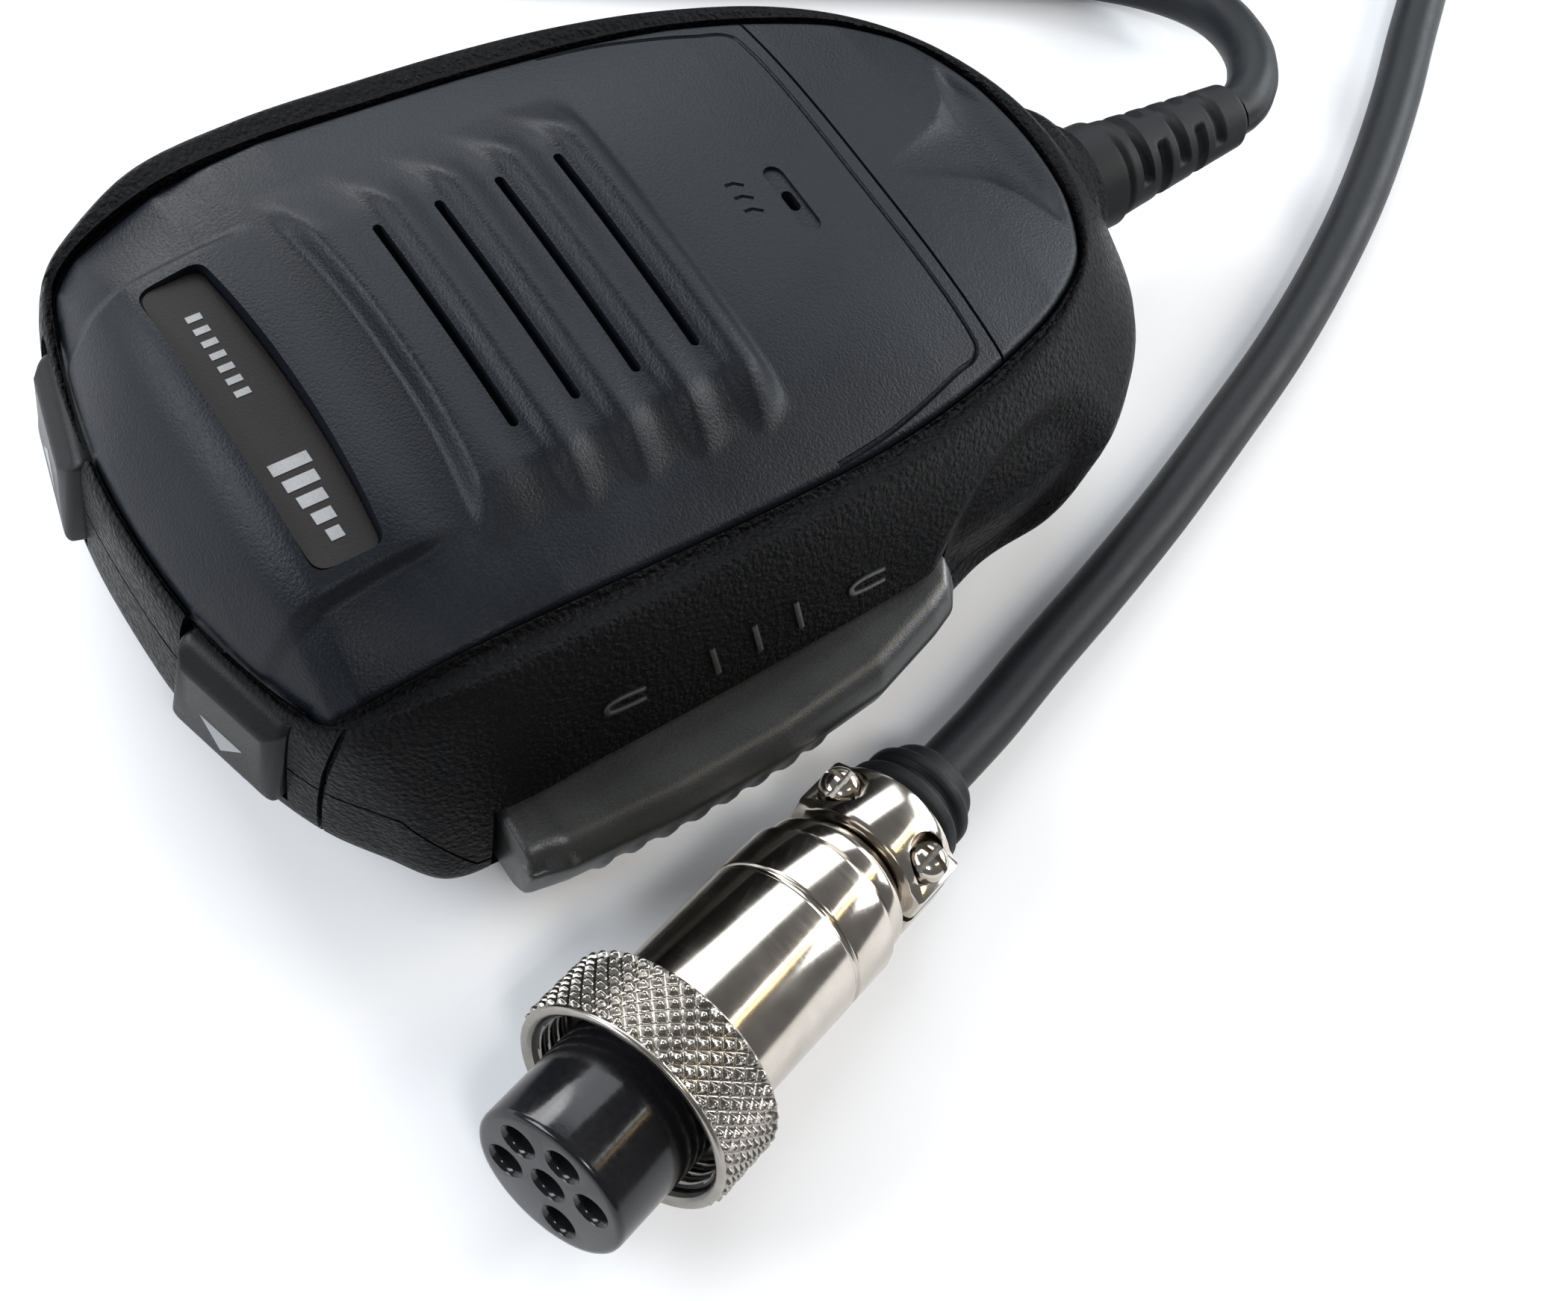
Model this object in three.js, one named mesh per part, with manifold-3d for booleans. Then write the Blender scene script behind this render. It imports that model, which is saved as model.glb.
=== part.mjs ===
// Hand microphone with a curly cord and a six-way screw-lock plug.
// Millimetres, +Z up. The microphone lies on the stud on its back, front face up:
// +Y points to the end with the two channel buttons, +X to the side of the UP button,
// and the talk bar is on the -X side. The origin is the centre of the stud's outer face.
import * as THREE from 'three';
import { mergeVertices } from 'three/addons/utils/BufferGeometryUtils.js';
import Module from 'manifold-3d';

const wasm = await Module();
wasm.setup();

// ---------------------------------------------------------------- driving dimensions
const GAP = 0.3; // clearance between neighbouring pieces
const BACK_Z = 4.5; // outside of the rear cover
const WALL = 2.2; // case wall
const FLOOR_TOP = BACK_Z + WALL;
const PARTING = { end: 14.2, side: 8, endY: 36, sideY: 31 }; // case split, high at the button end
const PANEL_WALL = 2.2;
const PANEL_EDGE = 1; // thickness of the front panel at its rim
const LEDGE = { inset: 1.5, drop: 2.8 }; // shelf that carries the front panel
const OUTLINE_STEPS = 48;
const FAR = 80; // reach of cutting boxes and prisms, outside everything on the microphone

// Half outlines of the case, from the middle of the button end round to the cable end.
// rim: x, y, z of the top edge; girth: x, y at GIRTH_Z; base: x, y at BASE_Z.
const GIRTH_Z = 15;
const BASE_Z = 7;
const STATIONS = [
  { rim: [0, 43.5, 20.6], girth: [0, 43.9], base: [0, 43.8] },
  { rim: [7.3, 43.1, 20.7], girth: [7.3, 43.6], base: [7.3, 43.5] },
  { rim: [14, 41.9, 21], girth: [14, 42.5], base: [14, 42.3] },
  { rim: [20.6, 39.8, 22], girth: [21.3, 40.1], base: [21.5, 39.5] },
  { rim: [23.4, 35.6, 25.4], girth: [27.8, 34.9], base: [29.8, 33.3] },
  { rim: [25.2, 30, 27.6], girth: [29.6, 29.5], base: [30.7, 28.5] },
  { rim: [25.7, 21, 28.3], girth: [29.7, 20], base: [30.5, 20] },
  { rim: [25.6, 11, 28], girth: [29.6, 10], base: [30.2, 10] },
  { rim: [25.3, 1, 27.5], girth: [29.4, 0], base: [29.8, 0] },
  { rim: [24.5, -8, 27], girth: [29.1, -10], base: [29.2, -10] },
  { rim: [22.9, -17, 26.4], girth: [28.6, -21], base: [28.4, -20.5] },
  { rim: [20.3, -26, 25.5], girth: [27.2, -31], base: [26.6, -30.5] },
  { rim: [16.6, -33.5, 24.5], girth: [23.2, -38.6], base: [22.4, -38] },
  { rim: [12, -38.8, 23.5], girth: [17, -44.8], base: [16, -44] },
  { rim: [6, -42.3, 22.9], girth: [9, -47.9], base: [8.5, -47] },
  { rim: [0, -43.4, 22.7], girth: [0, -48.8], base: [0, -48] },
];
// Seam between the front panel and the case: x, y, z of each half-outline station.
const SEAM = [
  [0, 42.9, 21], [7.3, 42.5, 21.1], [13.5, 41.2, 21.4], [18.6, 39.6, 22.2], [21, 37.6, 24.6],
  [22.3, 30, 28.2], [22.7, 21, 28.8], [22.7, 11, 28.2], [22.6, 2, 27.6], [22, -9, 26.8],
  [20.9, -16.5, 26.4], [19, -24, 25.8], [16.4, -31.2, 25], [12.6, -37, 23.9], [6.8, -40.4, 23.1],
  [0, -41.4, 22.9],
];
// Height of the front panel along its middle line: y, z.
const CROWN = [
  [42.9, 21], [41, 25.4], [38.6, 29], [36, 30.7], [30, 31.1], [24, 31.6], [18, 33], [2, 32.4],
  [-6, 30], [-14, 28.9], [-23, 27.3], [-32, 25.5], [-38, 24], [-41.4, 22.9],
];

const GRILLE = { slots: 4, firstY: 18, pitch: 5.3, length: 20, width: 0.8 };
const VOICE = { y: -14, length: 6.6, width: 1.9, depth: 0.9, holeRadius: 0.7 };
const PANEL_SPLIT_Y = -22.9;
const DISH = { radius: 30, y: -33, bottom: 24.8 }; // thumb dish in the lower panel
const LABEL = { y: 33.3, length: 27, width: 6.2, bottom: 29.2, top: 29.75 };

const KEY = {
  x: 13.3, y: 42.4, z: 13.95, turn: 15, halfWidth: 5.5, halfHeight: 5.45,
  proud: 1.1, depth: 3.4, chamfer: 0.9,
};
const KEY_SWITCH = { z: 0.55, plunger: 1.6, tip: -4.6, rear: -7.8, front: -6, back: -10.3, room: 0.8 };
const BAR = {
  bottom: 5.9, top: 14.2, bevel: 0.8, pivot: [-25.2, -12.3], pinRadius: 1.2, eyeRadius: 2.4,
  window: { outer: -45, inner: -23.4, near: -15.2, far: 29.8 },
};
const TALK_SWITCH = { y: 14, z: 8.6, plunger: 1, tip: -25.4, rear: -20.2 };
const BOARD = { bottom: 10.4, top: 12, postRadius: 2.3, screwHole: 1.1 };
const COVER_BOSS = { radius: 2.8, top: 17, screwHole: 1.4, headHole: 2.7, headDepth: 1.3 };
const SPEAKER_Y = 10.6;
const STUD = { radius: 8, neck: 4.2, hole: 1.7 };
const CABLE = { z: 11, neck: 3.1, base: 5.1, tip: 3.15, tipY: -71, bossRadius: 6.2, bossY: -50.4 };
const CORD_RADIUS = 2.5;
const CURL = { radius: 12.5, start: [74.3, -20.7], end: [35.3, -109.8] };
const PLUG = { ringFront: [-52.45, 32.8, 10.43], heading: -74.2, noseUp: 6.84 };

// ---------------------------------------------------------------- solids
function toSolid(geometry) {
  const bare = geometry.index ? geometry.toNonIndexed() : geometry.clone();
  bare.deleteAttribute('normal');
  bare.deleteAttribute('uv');
  const merged = mergeVertices(bare, 1e-4);
  return new wasm.Manifold(new wasm.Mesh({
    numProp: 3,
    vertProperties: new Float32Array(merged.attributes.position.array),
    triVerts: new Uint32Array(merged.index.array),
  }));
}

function toGeometry(solid) {
  const mesh = solid.getMesh();
  const geometry = new THREE.BufferGeometry();
  geometry.setAttribute('position', new THREE.BufferAttribute(new Float32Array(mesh.vertProperties), 3));
  geometry.setIndex(new THREE.BufferAttribute(new Uint32Array(mesh.triVerts), 1));
  geometry.computeVertexNormals();
  return geometry;
}

const join = (...geometries) => geometries.map(toSolid).reduce((sum, next) => sum.add(next));
const cut = (solid, ...tools) => tools.reduce((left, tool) => left.subtract(toSolid(tool)), solid);

function box(minimum, maximum) {
  const size = maximum.map((value, axis) => value - minimum[axis]);
  const middle = maximum.map((value, axis) => (value + minimum[axis]) / 2);
  return new THREE.BoxGeometry(...size).translate(...middle);
}

function upright(radius, x, y, bottom, top, sides = 16) {
  const cylinder = new THREE.CylinderGeometry(radius, radius, top - bottom, sides);
  return cylinder.rotateX(Math.PI / 2).translate(x, y, (bottom + top) / 2);
}

function alongX(radius, from, to, y, z, sides = 16) {
  return new THREE.CylinderGeometry(radius, radius, to - from, sides)
    .rotateZ(Math.PI / 2)
    .translate((from + to) / 2, y, z);
}

function alongY(radius, from, to, x, z, sides = 20) {
  return new THREE.CylinderGeometry(radius, radius, to - from, sides).translate(x, (from + to) / 2, z);
}

// Turned piece about the Y axis, from [radius, y] pairs.
function turned(profile, sides = 24) {
  return new THREE.LatheGeometry(profile.map(([radius, y]) => new THREE.Vector2(radius, y)), sides);
}

const turnedUp = (profile, sides) => turned(profile, sides).rotateX(Math.PI / 2);

function extruded(points, bottom, top) {
  const shape = new THREE.Shape(points.map(([x, y]) => new THREE.Vector2(x, y)));
  return new THREE.ExtrudeGeometry(shape, { depth: top - bottom, bevelEnabled: false })
    .translate(0, 0, bottom);
}

// Closed solid through a stack of loops that all have the same number of points.
function skin(loops) {
  const count = loops[0].length;
  const positions = [];
  const centre = (loop) => loop.reduce((sum, point) => sum.add(point), new THREE.Vector3())
    .divideScalar(loop.length);
  const triangle = (...corners) => positions.push(...corners.flatMap((corner) => corner.toArray()));
  for (let level = 0; level < loops.length - 1; level += 1) {
    for (let i = 0; i < count; i += 1) {
      const next = (i + 1) % count;
      const [a, b] = [loops[level][i], loops[level][next]];
      const [c, d] = [loops[level + 1][next], loops[level + 1][i]];
      triangle(a, b, c);
      triangle(a, c, d);
    }
  }
  const first = loops[0];
  const last = loops[loops.length - 1];
  const [bottom, top] = [centre(first), centre(last)];
  for (let i = 0; i < count; i += 1) {
    const next = (i + 1) % count;
    triangle(bottom, first[next], first[i]);
    triangle(top, last[i], last[next]);
  }
  const geometry = new THREE.BufferGeometry();
  geometry.setAttribute('position', new THREE.Float32BufferAttribute(positions, 3));
  return geometry;
}

// ---------------------------------------------------------------- outlines
// Smooth closed loop, counter-clockwise from above, from a right-hand half outline.
function loopOf(half) {
  const right = half.map(([x, y, z]) => new THREE.Vector3(x, y, z));
  const left = half.slice(1, -1).map(([x, y, z]) => new THREE.Vector3(-x, y, z));
  const points = [...left, right[right.length - 1], ...right.slice(1, -1).reverse(), right[0]];
  const curve = new THREE.CatmullRomCurve3(points, true, 'centripetal');
  return Array.from({ length: OUTLINE_STEPS }, (_, i) => curve.getPoint(i / OUTLINE_STEPS));
}

function inset(loop, distance) {
  return loop.map((point, i) => {
    const before = loop[(i + loop.length - 1) % loop.length];
    const after = loop[(i + 1) % loop.length];
    const inward = new THREE.Vector2(before.y - after.y, after.x - before.x).normalize();
    return new THREE.Vector3(point.x + inward.x * distance, point.y + inward.y * distance, point.z);
  });
}

const raised = (loop, rise) => loop.map((point) => point.clone().setZ(point.z + rise));
const levelled = (loop, z) => loop.map((point) => point.clone().setZ(z));
const between = (low, high, share) => low.map((point, i) => point.clone().lerp(high[i], share));

const rim = loopOf(STATIONS.map(({ rim: point }) => point));
const girth = loopOf(STATIONS.map(({ girth: [x, y] }) => [x, y, GIRTH_Z]));
const base = loopOf(STATIONS.map(({ base: [x, y] }) => [x, y, BASE_Z]));
const seam = loopOf(SEAM);
const shoulder = inset(between(girth, rim, 0.78), -0.7);

// Straight-line table look-up; the first column runs downwards.
function lookUp(table, key, column) {
  const last = table.length - 1;
  const i = Math.min(Math.max(table.findIndex((row) => row[0] <= key), 1), last);
  const [above, below] = [table[i - 1], table[i]];
  const share = (above[0] - key) / (above[0] - below[0]);
  return above[column] + (below[column] - above[column]) * share;
}

const SEAM_BY_Y = SEAM.map(([x, y, z]) => [y, x, z]);

function panelHeight(x, y) {
  const halfWidth = Math.max(lookUp(SEAM_BY_Y, y, 1), 0.5);
  const edge = lookUp(SEAM_BY_Y, y, 2);
  const crown = lookUp(CROWN, y, 1);
  const share = Math.min(Math.abs(x) / halfWidth, 1);
  return crown - (crown - edge) * share ** 3;
}

// Ring of the front panel's surface, the seam drawn in towards the middle by a share.
function panelRing(share, lower) {
  return seam.map((point) => {
    const x = point.x * share;
    const y = point.y * share;
    return new THREE.Vector3(x, y, panelHeight(x, y) - lower);
  });
}

// ---------------------------------------------------------------- case
function caseOuter() {
  return skin([
    inset(levelled(base, BACK_Z), 2.4), inset(levelled(base, BACK_Z + 0.7), 0.7), base, girth, shoulder,
    rim, inset(seam, -GAP),
  ]);
}

function caseCavity() {
  return skin([
    inset(levelled(base, FLOOR_TOP), WALL), inset(girth, WALL), raised(inset(rim, 2.4), -4.8),
    raised(inset(seam, LEDGE.inset), -LEDGE.drop - 1), raised(inset(seam, LEDGE.inset), 14),
  ]);
}

const panelPocket = () => skin([
  raised(inset(seam, -GAP), -PANEL_EDGE - GAP), raised(inset(seam, -GAP), 14),
]);

// Everything under the split between the two case halves, as a prism along X.
function belowParting(rise) {
  const split = [
    [-FAR, -FAR], [FAR, -FAR], [FAR, PARTING.end + rise], [PARTING.endY, PARTING.end + rise],
    [PARTING.sideY, PARTING.side + rise], [-FAR, PARTING.side + rise],
  ];
  return extruded(split, -FAR, FAR).rotateY(Math.PI / 2).rotateX(Math.PI / 2);
}

const bossPlaces = [[24.4, 31.5], [-24.4, 31.5], [17.9, -37], [-17.9, -37]];
const boardPostPlaces = [[12, -24], [-12, -24]];

function keyPlacement(side) {
  return new THREE.Matrix4()
    .makeRotationZ(THREE.MathUtils.degToRad(-side * KEY.turn))
    .setPosition(side * KEY.x, KEY.y, KEY.z);
}

function keyWindow(side) {
  const window = box([-KEY.halfWidth - GAP, -6, -KEY.halfHeight - GAP],
    [KEY.halfWidth + GAP, 6, KEY.halfHeight + GAP + 1]);
  return window.applyMatrix4(keyPlacement(side));
}

const barWindow = () => box([BAR.window.outer, BAR.window.near, BAR.bottom - GAP],
  [BAR.window.inner, BAR.window.far, BAR.top + GAP]);
const cableBoss = () => alongY(CABLE.bossRadius, CABLE.bossY, -45.5, 0, CABLE.z);
const cableHole = () => alongY(CABLE.neck + GAP, -60, -40, 0, CABLE.z);

function frontCase() {
  let shell = cut(join(caseOuter(), cableBoss()), caseCavity(), panelPocket(), belowParting(GAP));
  bossPlaces.forEach(([x, y]) => {
    shell = shell.add(toSolid(upright(COVER_BOSS.radius, x, y, FLOOR_TOP + GAP, COVER_BOSS.top)));
  });
  const [pivotX, pivotY] = BAR.pivot;
  shell = shell.add(toSolid(upright(2.6, pivotX, pivotY, 14.9, 19)));
  shell = cut(shell, upright(BAR.pinRadius + GAP, pivotX, pivotY, 0, 17.3), barWindow(), keyWindow(1),
    keyWindow(-1), cableHole());
  bossPlaces.forEach(([x, y]) => {
    shell = cut(shell, upright(COVER_BOSS.screwHole, x, y, 0, COVER_BOSS.top - 2));
  });
  return toGeometry(shell);
}

function rearCover() {
  let shell = cut(join(caseOuter(), cableBoss()).intersect(toSolid(belowParting(0))), caseCavity());
  boardPostPlaces.forEach(([x, y]) => {
    shell = shell.add(toSolid(upright(BOARD.postRadius, x, y, FLOOR_TOP - 1, BOARD.bottom - GAP)));
    shell = cut(shell, upright(BOARD.screwHole, x, y, FLOOR_TOP + 0.8, FAR));
  });
  const springStop = box([-19.6, 20, FLOOR_TOP - 1], [-18, 24, BOARD.bottom - GAP]);
  shell = cut(shell.add(toSolid(springStop)), barWindow(), keyWindow(1), keyWindow(-1), cableHole(),
    upright(STUD.hole, 0, 0, 0, FAR));
  bossPlaces.forEach(([x, y]) => {
    shell = cut(shell, upright(COVER_BOSS.screwHole, x, y, 0, FAR),
      upright(COVER_BOSS.headHole, x, y, 0, BACK_Z + COVER_BOSS.headDepth),
      upright(COVER_BOSS.radius + GAP, x, y, FLOOR_TOP, FAR));
  });
  return toGeometry(shell);
}

// ---------------------------------------------------------------- front panel
function panelSolid() {
  const outer = skin([
    raised(seam, -PANEL_EDGE), seam, panelRing(0.94, 0), panelRing(0.84, 0), panelRing(0.66, 0),
    panelRing(0.35, 0),
  ]);
  const hollow = skin([
    raised(inset(seam, 2.4), -12), raised(panelRing(0.84, PANEL_WALL), -1), panelRing(0.66, PANEL_WALL),
    panelRing(0.35, PANEL_WALL),
  ]);
  return cut(toSolid(outer), hollow);
}

// Raised louvre in front of each slot, a low wedge with its crest at the slot.
function louvre(y) {
  const z = panelHeight(0, y);
  const wedge = [[y - 3.6, z - 1.2], [y - 0.65, z - 1.2], [y - 0.65, z + 1], [y - 1.6, z + 1.1]];
  const halfLength = GRILLE.length / 2 + 1.6;
  return extruded(wedge, -halfLength, halfLength).rotateY(Math.PI / 2).rotateX(Math.PI / 2);
}

function frontPanel() {
  let panel = panelSolid();
  for (let i = 0; i < GRILLE.slots; i += 1) {
    const y = GRILLE.firstY - i * GRILLE.pitch;
    panel = panel.add(toSolid(louvre(y)));
    panel = cut(panel, box([-GRILLE.length / 2, y - GRILLE.width / 2, 20],
      [GRILLE.length / 2, y + GRILLE.width / 2, FAR]));
  }
  const recessZ = panelHeight(0, VOICE.y) - VOICE.depth;
  return toGeometry(cut(panel,
    box([-VOICE.length / 2, VOICE.y - VOICE.width / 2, recessZ],
      [VOICE.length / 2, VOICE.y + VOICE.width / 2, FAR]),
    upright(VOICE.holeRadius, 0, VOICE.y, 20, FAR, 12),
    box([-LABEL.length / 2 - GAP, LABEL.y - LABEL.width / 2 - GAP, LABEL.bottom - GAP],
      [LABEL.length / 2 + GAP, LABEL.y + LABEL.width / 2 + GAP, FAR]),
    box([-FAR, -FAR, 0], [FAR, PANEL_SPLIT_Y + GAP / 2, FAR])));
}

function lowerPanel() {
  const dish = new THREE.SphereGeometry(DISH.radius, 48, 24)
    .translate(0, DISH.y, DISH.bottom + DISH.radius);
  return toGeometry(cut(panelSolid(), box([-FAR, PANEL_SPLIT_Y - GAP / 2, 0], [FAR, FAR, FAR]), dish));
}

const labelPlate = () => box([-LABEL.length / 2, LABEL.y - LABEL.width / 2, LABEL.bottom],
  [LABEL.length / 2, LABEL.y + LABEL.width / 2, LABEL.top]);

// ---------------------------------------------------------------- channel buttons
// Local frame: x along the wall, +y outwards, z up.
function keyCap() {
  const { halfWidth, halfHeight, proud, depth, chamfer } = KEY;
  const rectangle = (trim, z) => [[-1, -1], [1, -1], [1, 1], [-1, 1]].map(
    ([x, y]) => new THREE.Vector3(x * (halfWidth - trim), y * (halfHeight - trim), z));
  const cap = skin([rectangle(0, -depth), rectangle(0, proud - chamfer), rectangle(chamfer, proud)])
    .rotateX(-Math.PI / 2);
  const flange = box([-halfWidth - 0.8, -depth - 0.9, -halfHeight - 0.7],
    [halfWidth + 0.8, -depth + 0.1, halfHeight - 1.6]);
  return toGeometry(join(cap, flange));
}

const plungerOfKey = () => alongY(KEY_SWITCH.plunger, KEY_SWITCH.rear, KEY_SWITCH.tip, 0, KEY_SWITCH.z, 16);

function switchOfKey() {
  const { z, plunger, rear, front, back, room } = KEY_SWITCH;
  return toGeometry(cut(join(box([-3, back, z - 2.2], [3, front, z + 2.2])),
    alongY(plunger + GAP, rear - room, 0, 0, z, 16)));
}

// ---------------------------------------------------------------- talk bar
function talkBar() {
  const outline = [
    [-29.9, 29], [-27.9, 29], [-27.9, 28], [-26.2, 27.4], [-26.2, -14.4], [-29.9, -14.6], [-32.4, -11],
    [-34.6, -4], [-35.7, 6], [-35.9, 16], [-35.4, 25.4],
  ].reverse();
  const shape = new THREE.Shape(outline.map(([x, y]) => new THREE.Vector2(x, y)));
  const bar = new THREE.ExtrudeGeometry(shape, {
    depth: BAR.top - BAR.bottom - 2 * BAR.bevel, bevelThickness: BAR.bevel, bevelSize: BAR.bevel,
    bevelOffset: -BAR.bevel, bevelSegments: 2,
  }).translate(0, 0, BAR.bottom + BAR.bevel);
  const flange = box([-26.5, -8.5, 7.4], [-25.7, 27.4, 15.3]);
  const [x, y] = BAR.pivot;
  const eye = upright(BAR.eyeRadius, x, y, 7.4, 14);
  return toGeometry(cut(join(bar, flange, eye), upright(BAR.pinRadius + GAP, x, y, 0, 20)));
}

function talkSwitch() {
  const { y, z, plunger, rear } = TALK_SWITCH;
  const socket = alongX(plunger + GAP, rear - 4, rear + 2.2, y, z);
  return toGeometry(cut(join(box([-22.8, y - 3, z - 1.5], [-16, y + 3, z + 1.5])), socket));
}

const talkPlunger = () => alongX(TALK_SWITCH.plunger, TALK_SWITCH.tip, TALK_SWITCH.rear, TALK_SWITCH.y,
  TALK_SWITCH.z);

const talkSpring = () => turned([[1, 0], [1.5, 0], [1.5, 3.6], [1, 3.6], [1, 0]], 12)
  .rotateZ(-Math.PI / 2).translate(-25.4, 22, 8.6);

// ---------------------------------------------------------------- inside
function circuitBoard() {
  const outline = [
    [-22.2, -26], [-14, -33], [14, -33], [22.2, -26], [22.2, 26], [20.2, 29], [15, 36.2], [-15, 36.2],
    [-20.2, 29], [-22.2, 26],
  ];
  return toGeometry(boardPostPlaces.reduce((board, [x, y]) => cut(board, upright(1.3, x, y, 0, 30)),
    join(extruded(outline, BOARD.bottom, BOARD.top))));
}

const boardScrew = () => turnedUp([
  [0, 7.9], [0.8, 7.9], [0.8, BOARD.top + GAP], [2.1, BOARD.top + GAP], [2.1, 13.5], [0, 13.5],
], 12);

const micCapsule = () => turnedUp([[0, 20.1], [4.8, 20.1], [4.8, 25.6], [0, 25.6]], 20);
const micHolder = () => turnedUp([
  [5.1, 12.3], [6.1, 12.3], [6.1, 25.4], [5.1, 25.4], [5.1, 12.3],
], 20);

const speakerFrame = () => turnedUp([
  [0, 20.6], [10, 20.6], [15.6, 26], [17.6, 26], [17.6, 27.2], [15, 27.2], [9.6, 21.6], [0, 21.6],
], 28);
const speakerCone = () => turnedUp([
  [0, 22.4], [4, 22.4], [14.4, 26.9], [14.4, 27.2], [3.9, 22.9], [0, 22.9],
], 28);
const speakerMagnet = () => turnedUp([[0, 15.2], [9, 15.2], [9, 20.3], [0, 20.3]], 24);

// ---------------------------------------------------------------- back
const hangStud = () => turnedUp([
  [0, 0], [STUD.radius - 0.6, 0], [STUD.radius, 0.6], [STUD.radius, 1.5], [STUD.radius - 0.6, 2],
  [STUD.neck, 2.2], [STUD.neck, BACK_Z - GAP], [STUD.hole, BACK_Z - GAP], [STUD.hole, 1.2], [0, 1.2],
], 28);
const studScrew = () => turnedUp([
  [0, 1.5], [STUD.hole - GAP, 1.5], [STUD.hole - GAP, FLOOR_TOP + GAP], [3, FLOOR_TOP + GAP],
  [3, FLOOR_TOP + 2], [0, FLOOR_TOP + 2],
], 16);
const coverScrew = () => turnedUp([
  [0, BACK_Z + 0.1], [2.4, BACK_Z + 0.1], [2.4, BACK_Z + 1], [1.1, BACK_Z + 1], [1.1, 14], [0, 14],
], 12);
const pivotPin = () => upright(BAR.pinRadius, ...BAR.pivot, 7, 17);

// ---------------------------------------------------------------- cable
function strainRelief() {
  const { neck, base: wide, tip, tipY } = CABLE;
  const bore = CORD_RADIUS + GAP;
  return turned([
    [bore, tipY], [tip, tipY], [wide - 0.3, -52.4], [wide, -50.8], [neck, -50.8], [neck, -45.4], [4, -45.4],
    [4, -44.3], [bore, -44.3], [bore, tipY],
  ], 20).translate(0, 0, CABLE.z);
}

const CORD_SECTION = new THREE.Shape(Array.from({ length: 8 }, (_, i) => {
  const angle = ((i + 0.5) * Math.PI) / 4;
  return new THREE.Vector2(CORD_RADIUS * Math.cos(angle), CORD_RADIUS * Math.sin(angle));
}));

// From the strain relief to the curled length.
const MIC_TAIL = [
  [0, -43.8, 11], [0, -58, 11], [0, -71.3, 11],
  [0.4, -73.6, 10.9], [2.2, -76.6, 10.5], [5.5, -79.6, 9.6], [9.4, -81.7, 8.2],
  [13.2, -82.7, 6.8], [17.2, -82.4, 5.3], [21.2, -80.4, 4.1], [25, -77, 3.2], [28.8, -71.6, 2.7],
  [32.4, -64.5, 2.55], [38, -53, 2.55], [45, -38.5, 2.55], [50, -28.7, 2.55], [54.4, -22.5, 2.55],
  [58.8, -19.6, 2.55], [63.2, -19.1, 2.55],
];
// From the curled length to the plug.
const PLUG_TAIL = [
  [46.1, -111.8, 2.55], [50.3, -116.4, 2.55], [51.6, -123.4, 2.55], [49.1, -130, 2.55], [43, -134.3, 2.55],
  [35.3, -134.7, 2.55], [27.6, -131.2, 2.55], [20.3, -125.4, 2.55], [14, -118.5, 2.55], [8.9, -112.2, 2.55],
  [3.7, -105.2, 2.55], [-2.2, -97.4, 2.55], [-9.5, -86.5, 2.55], [-15.5, -75.8, 2.55], [-20.7, -65, 2.65],
  [-25.4, -53.4, 2.8], [-29.8, -42, 3.1], [-33.5, -31.2, 3.6], [-36.55, -21.65, 4.2], [-39.2, -13.9, 4.68],
  [-40.43, -9.71, 5.13], [-41.78, -4.94, 5.72], [-43.26, 0.32, 6.38], [-45.29, 7.48, 7.27],
];

function cordTube(route, steps) {
  const points = route.map((point) => new THREE.Vector3(...point));
  const path = new THREE.CatmullRomCurve3(points, false, 'centripetal');
  return new THREE.ExtrudeGeometry(CORD_SECTION, { steps, extrudePath: path, bevelEnabled: false });
}

function curledCord() {
  const [start, end] = [CURL.start, CURL.end].map(([x, y]) => new THREE.Vector3(x, y, CURL.radius));
  const along = end.clone().sub(start);
  const upAxis = new THREE.Vector3(0, 1, 0);
  const turn = new THREE.Quaternion().setFromUnitVectors(upAxis, along.clone().normalize());
  return new THREE.CylinderGeometry(CURL.radius, CURL.radius, along.length(), 24)
    .applyQuaternion(turn)
    .translate(...start.lerp(end, 0.5).toArray());
}

// ---------------------------------------------------------------- plug
// Local frame: +y runs from the coupling ring's front edge towards the cord.
const RING = { radius: 9.7, length: 6.6, bore: 8.1, lip: 6.95, shelf: 4.6 };
const SHELL = {
  radius: 7.25, neck: 6.65, flange: 7.5, bore: 5.9, front: 2.9, neckStart: 4.3, neckEnd: 6.9, groove: 19.5, back: 24.6,
};
const INSERT = {
  radius: 6.6, rear: 5.6, front: -7.9, step: 2.6, back: 13, hole: 1.3, bore: 1.1, circle: 3.95,
  angles: [26, 86, 148, 206, 300],
};
const CLAMP = { front: 28.2, width: 6, screwX: 4.5, screwY: 31.2, screwHole: 1.15 };
const GLAND_FRONT = 24.9;
const SLEEVE_FRONT = 34.5;

const contactPlaces = [[0, 0], ...INSERT.angles.map((degrees) => {
  const angle = THREE.MathUtils.degToRad(degrees);
  return [INSERT.circle * Math.cos(angle), INSERT.circle * Math.sin(angle)];
})];

const couplingRing = () => turned([
  [RING.bore, 0], [RING.radius - 0.5, 0], [RING.radius, 0.5], [RING.radius, RING.length - 0.6],
  [RING.radius - 0.6, RING.length], [RING.lip, RING.length], [RING.lip, RING.shelf], [RING.bore, RING.shelf],
  [RING.bore, 0],
], 36);

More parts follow.
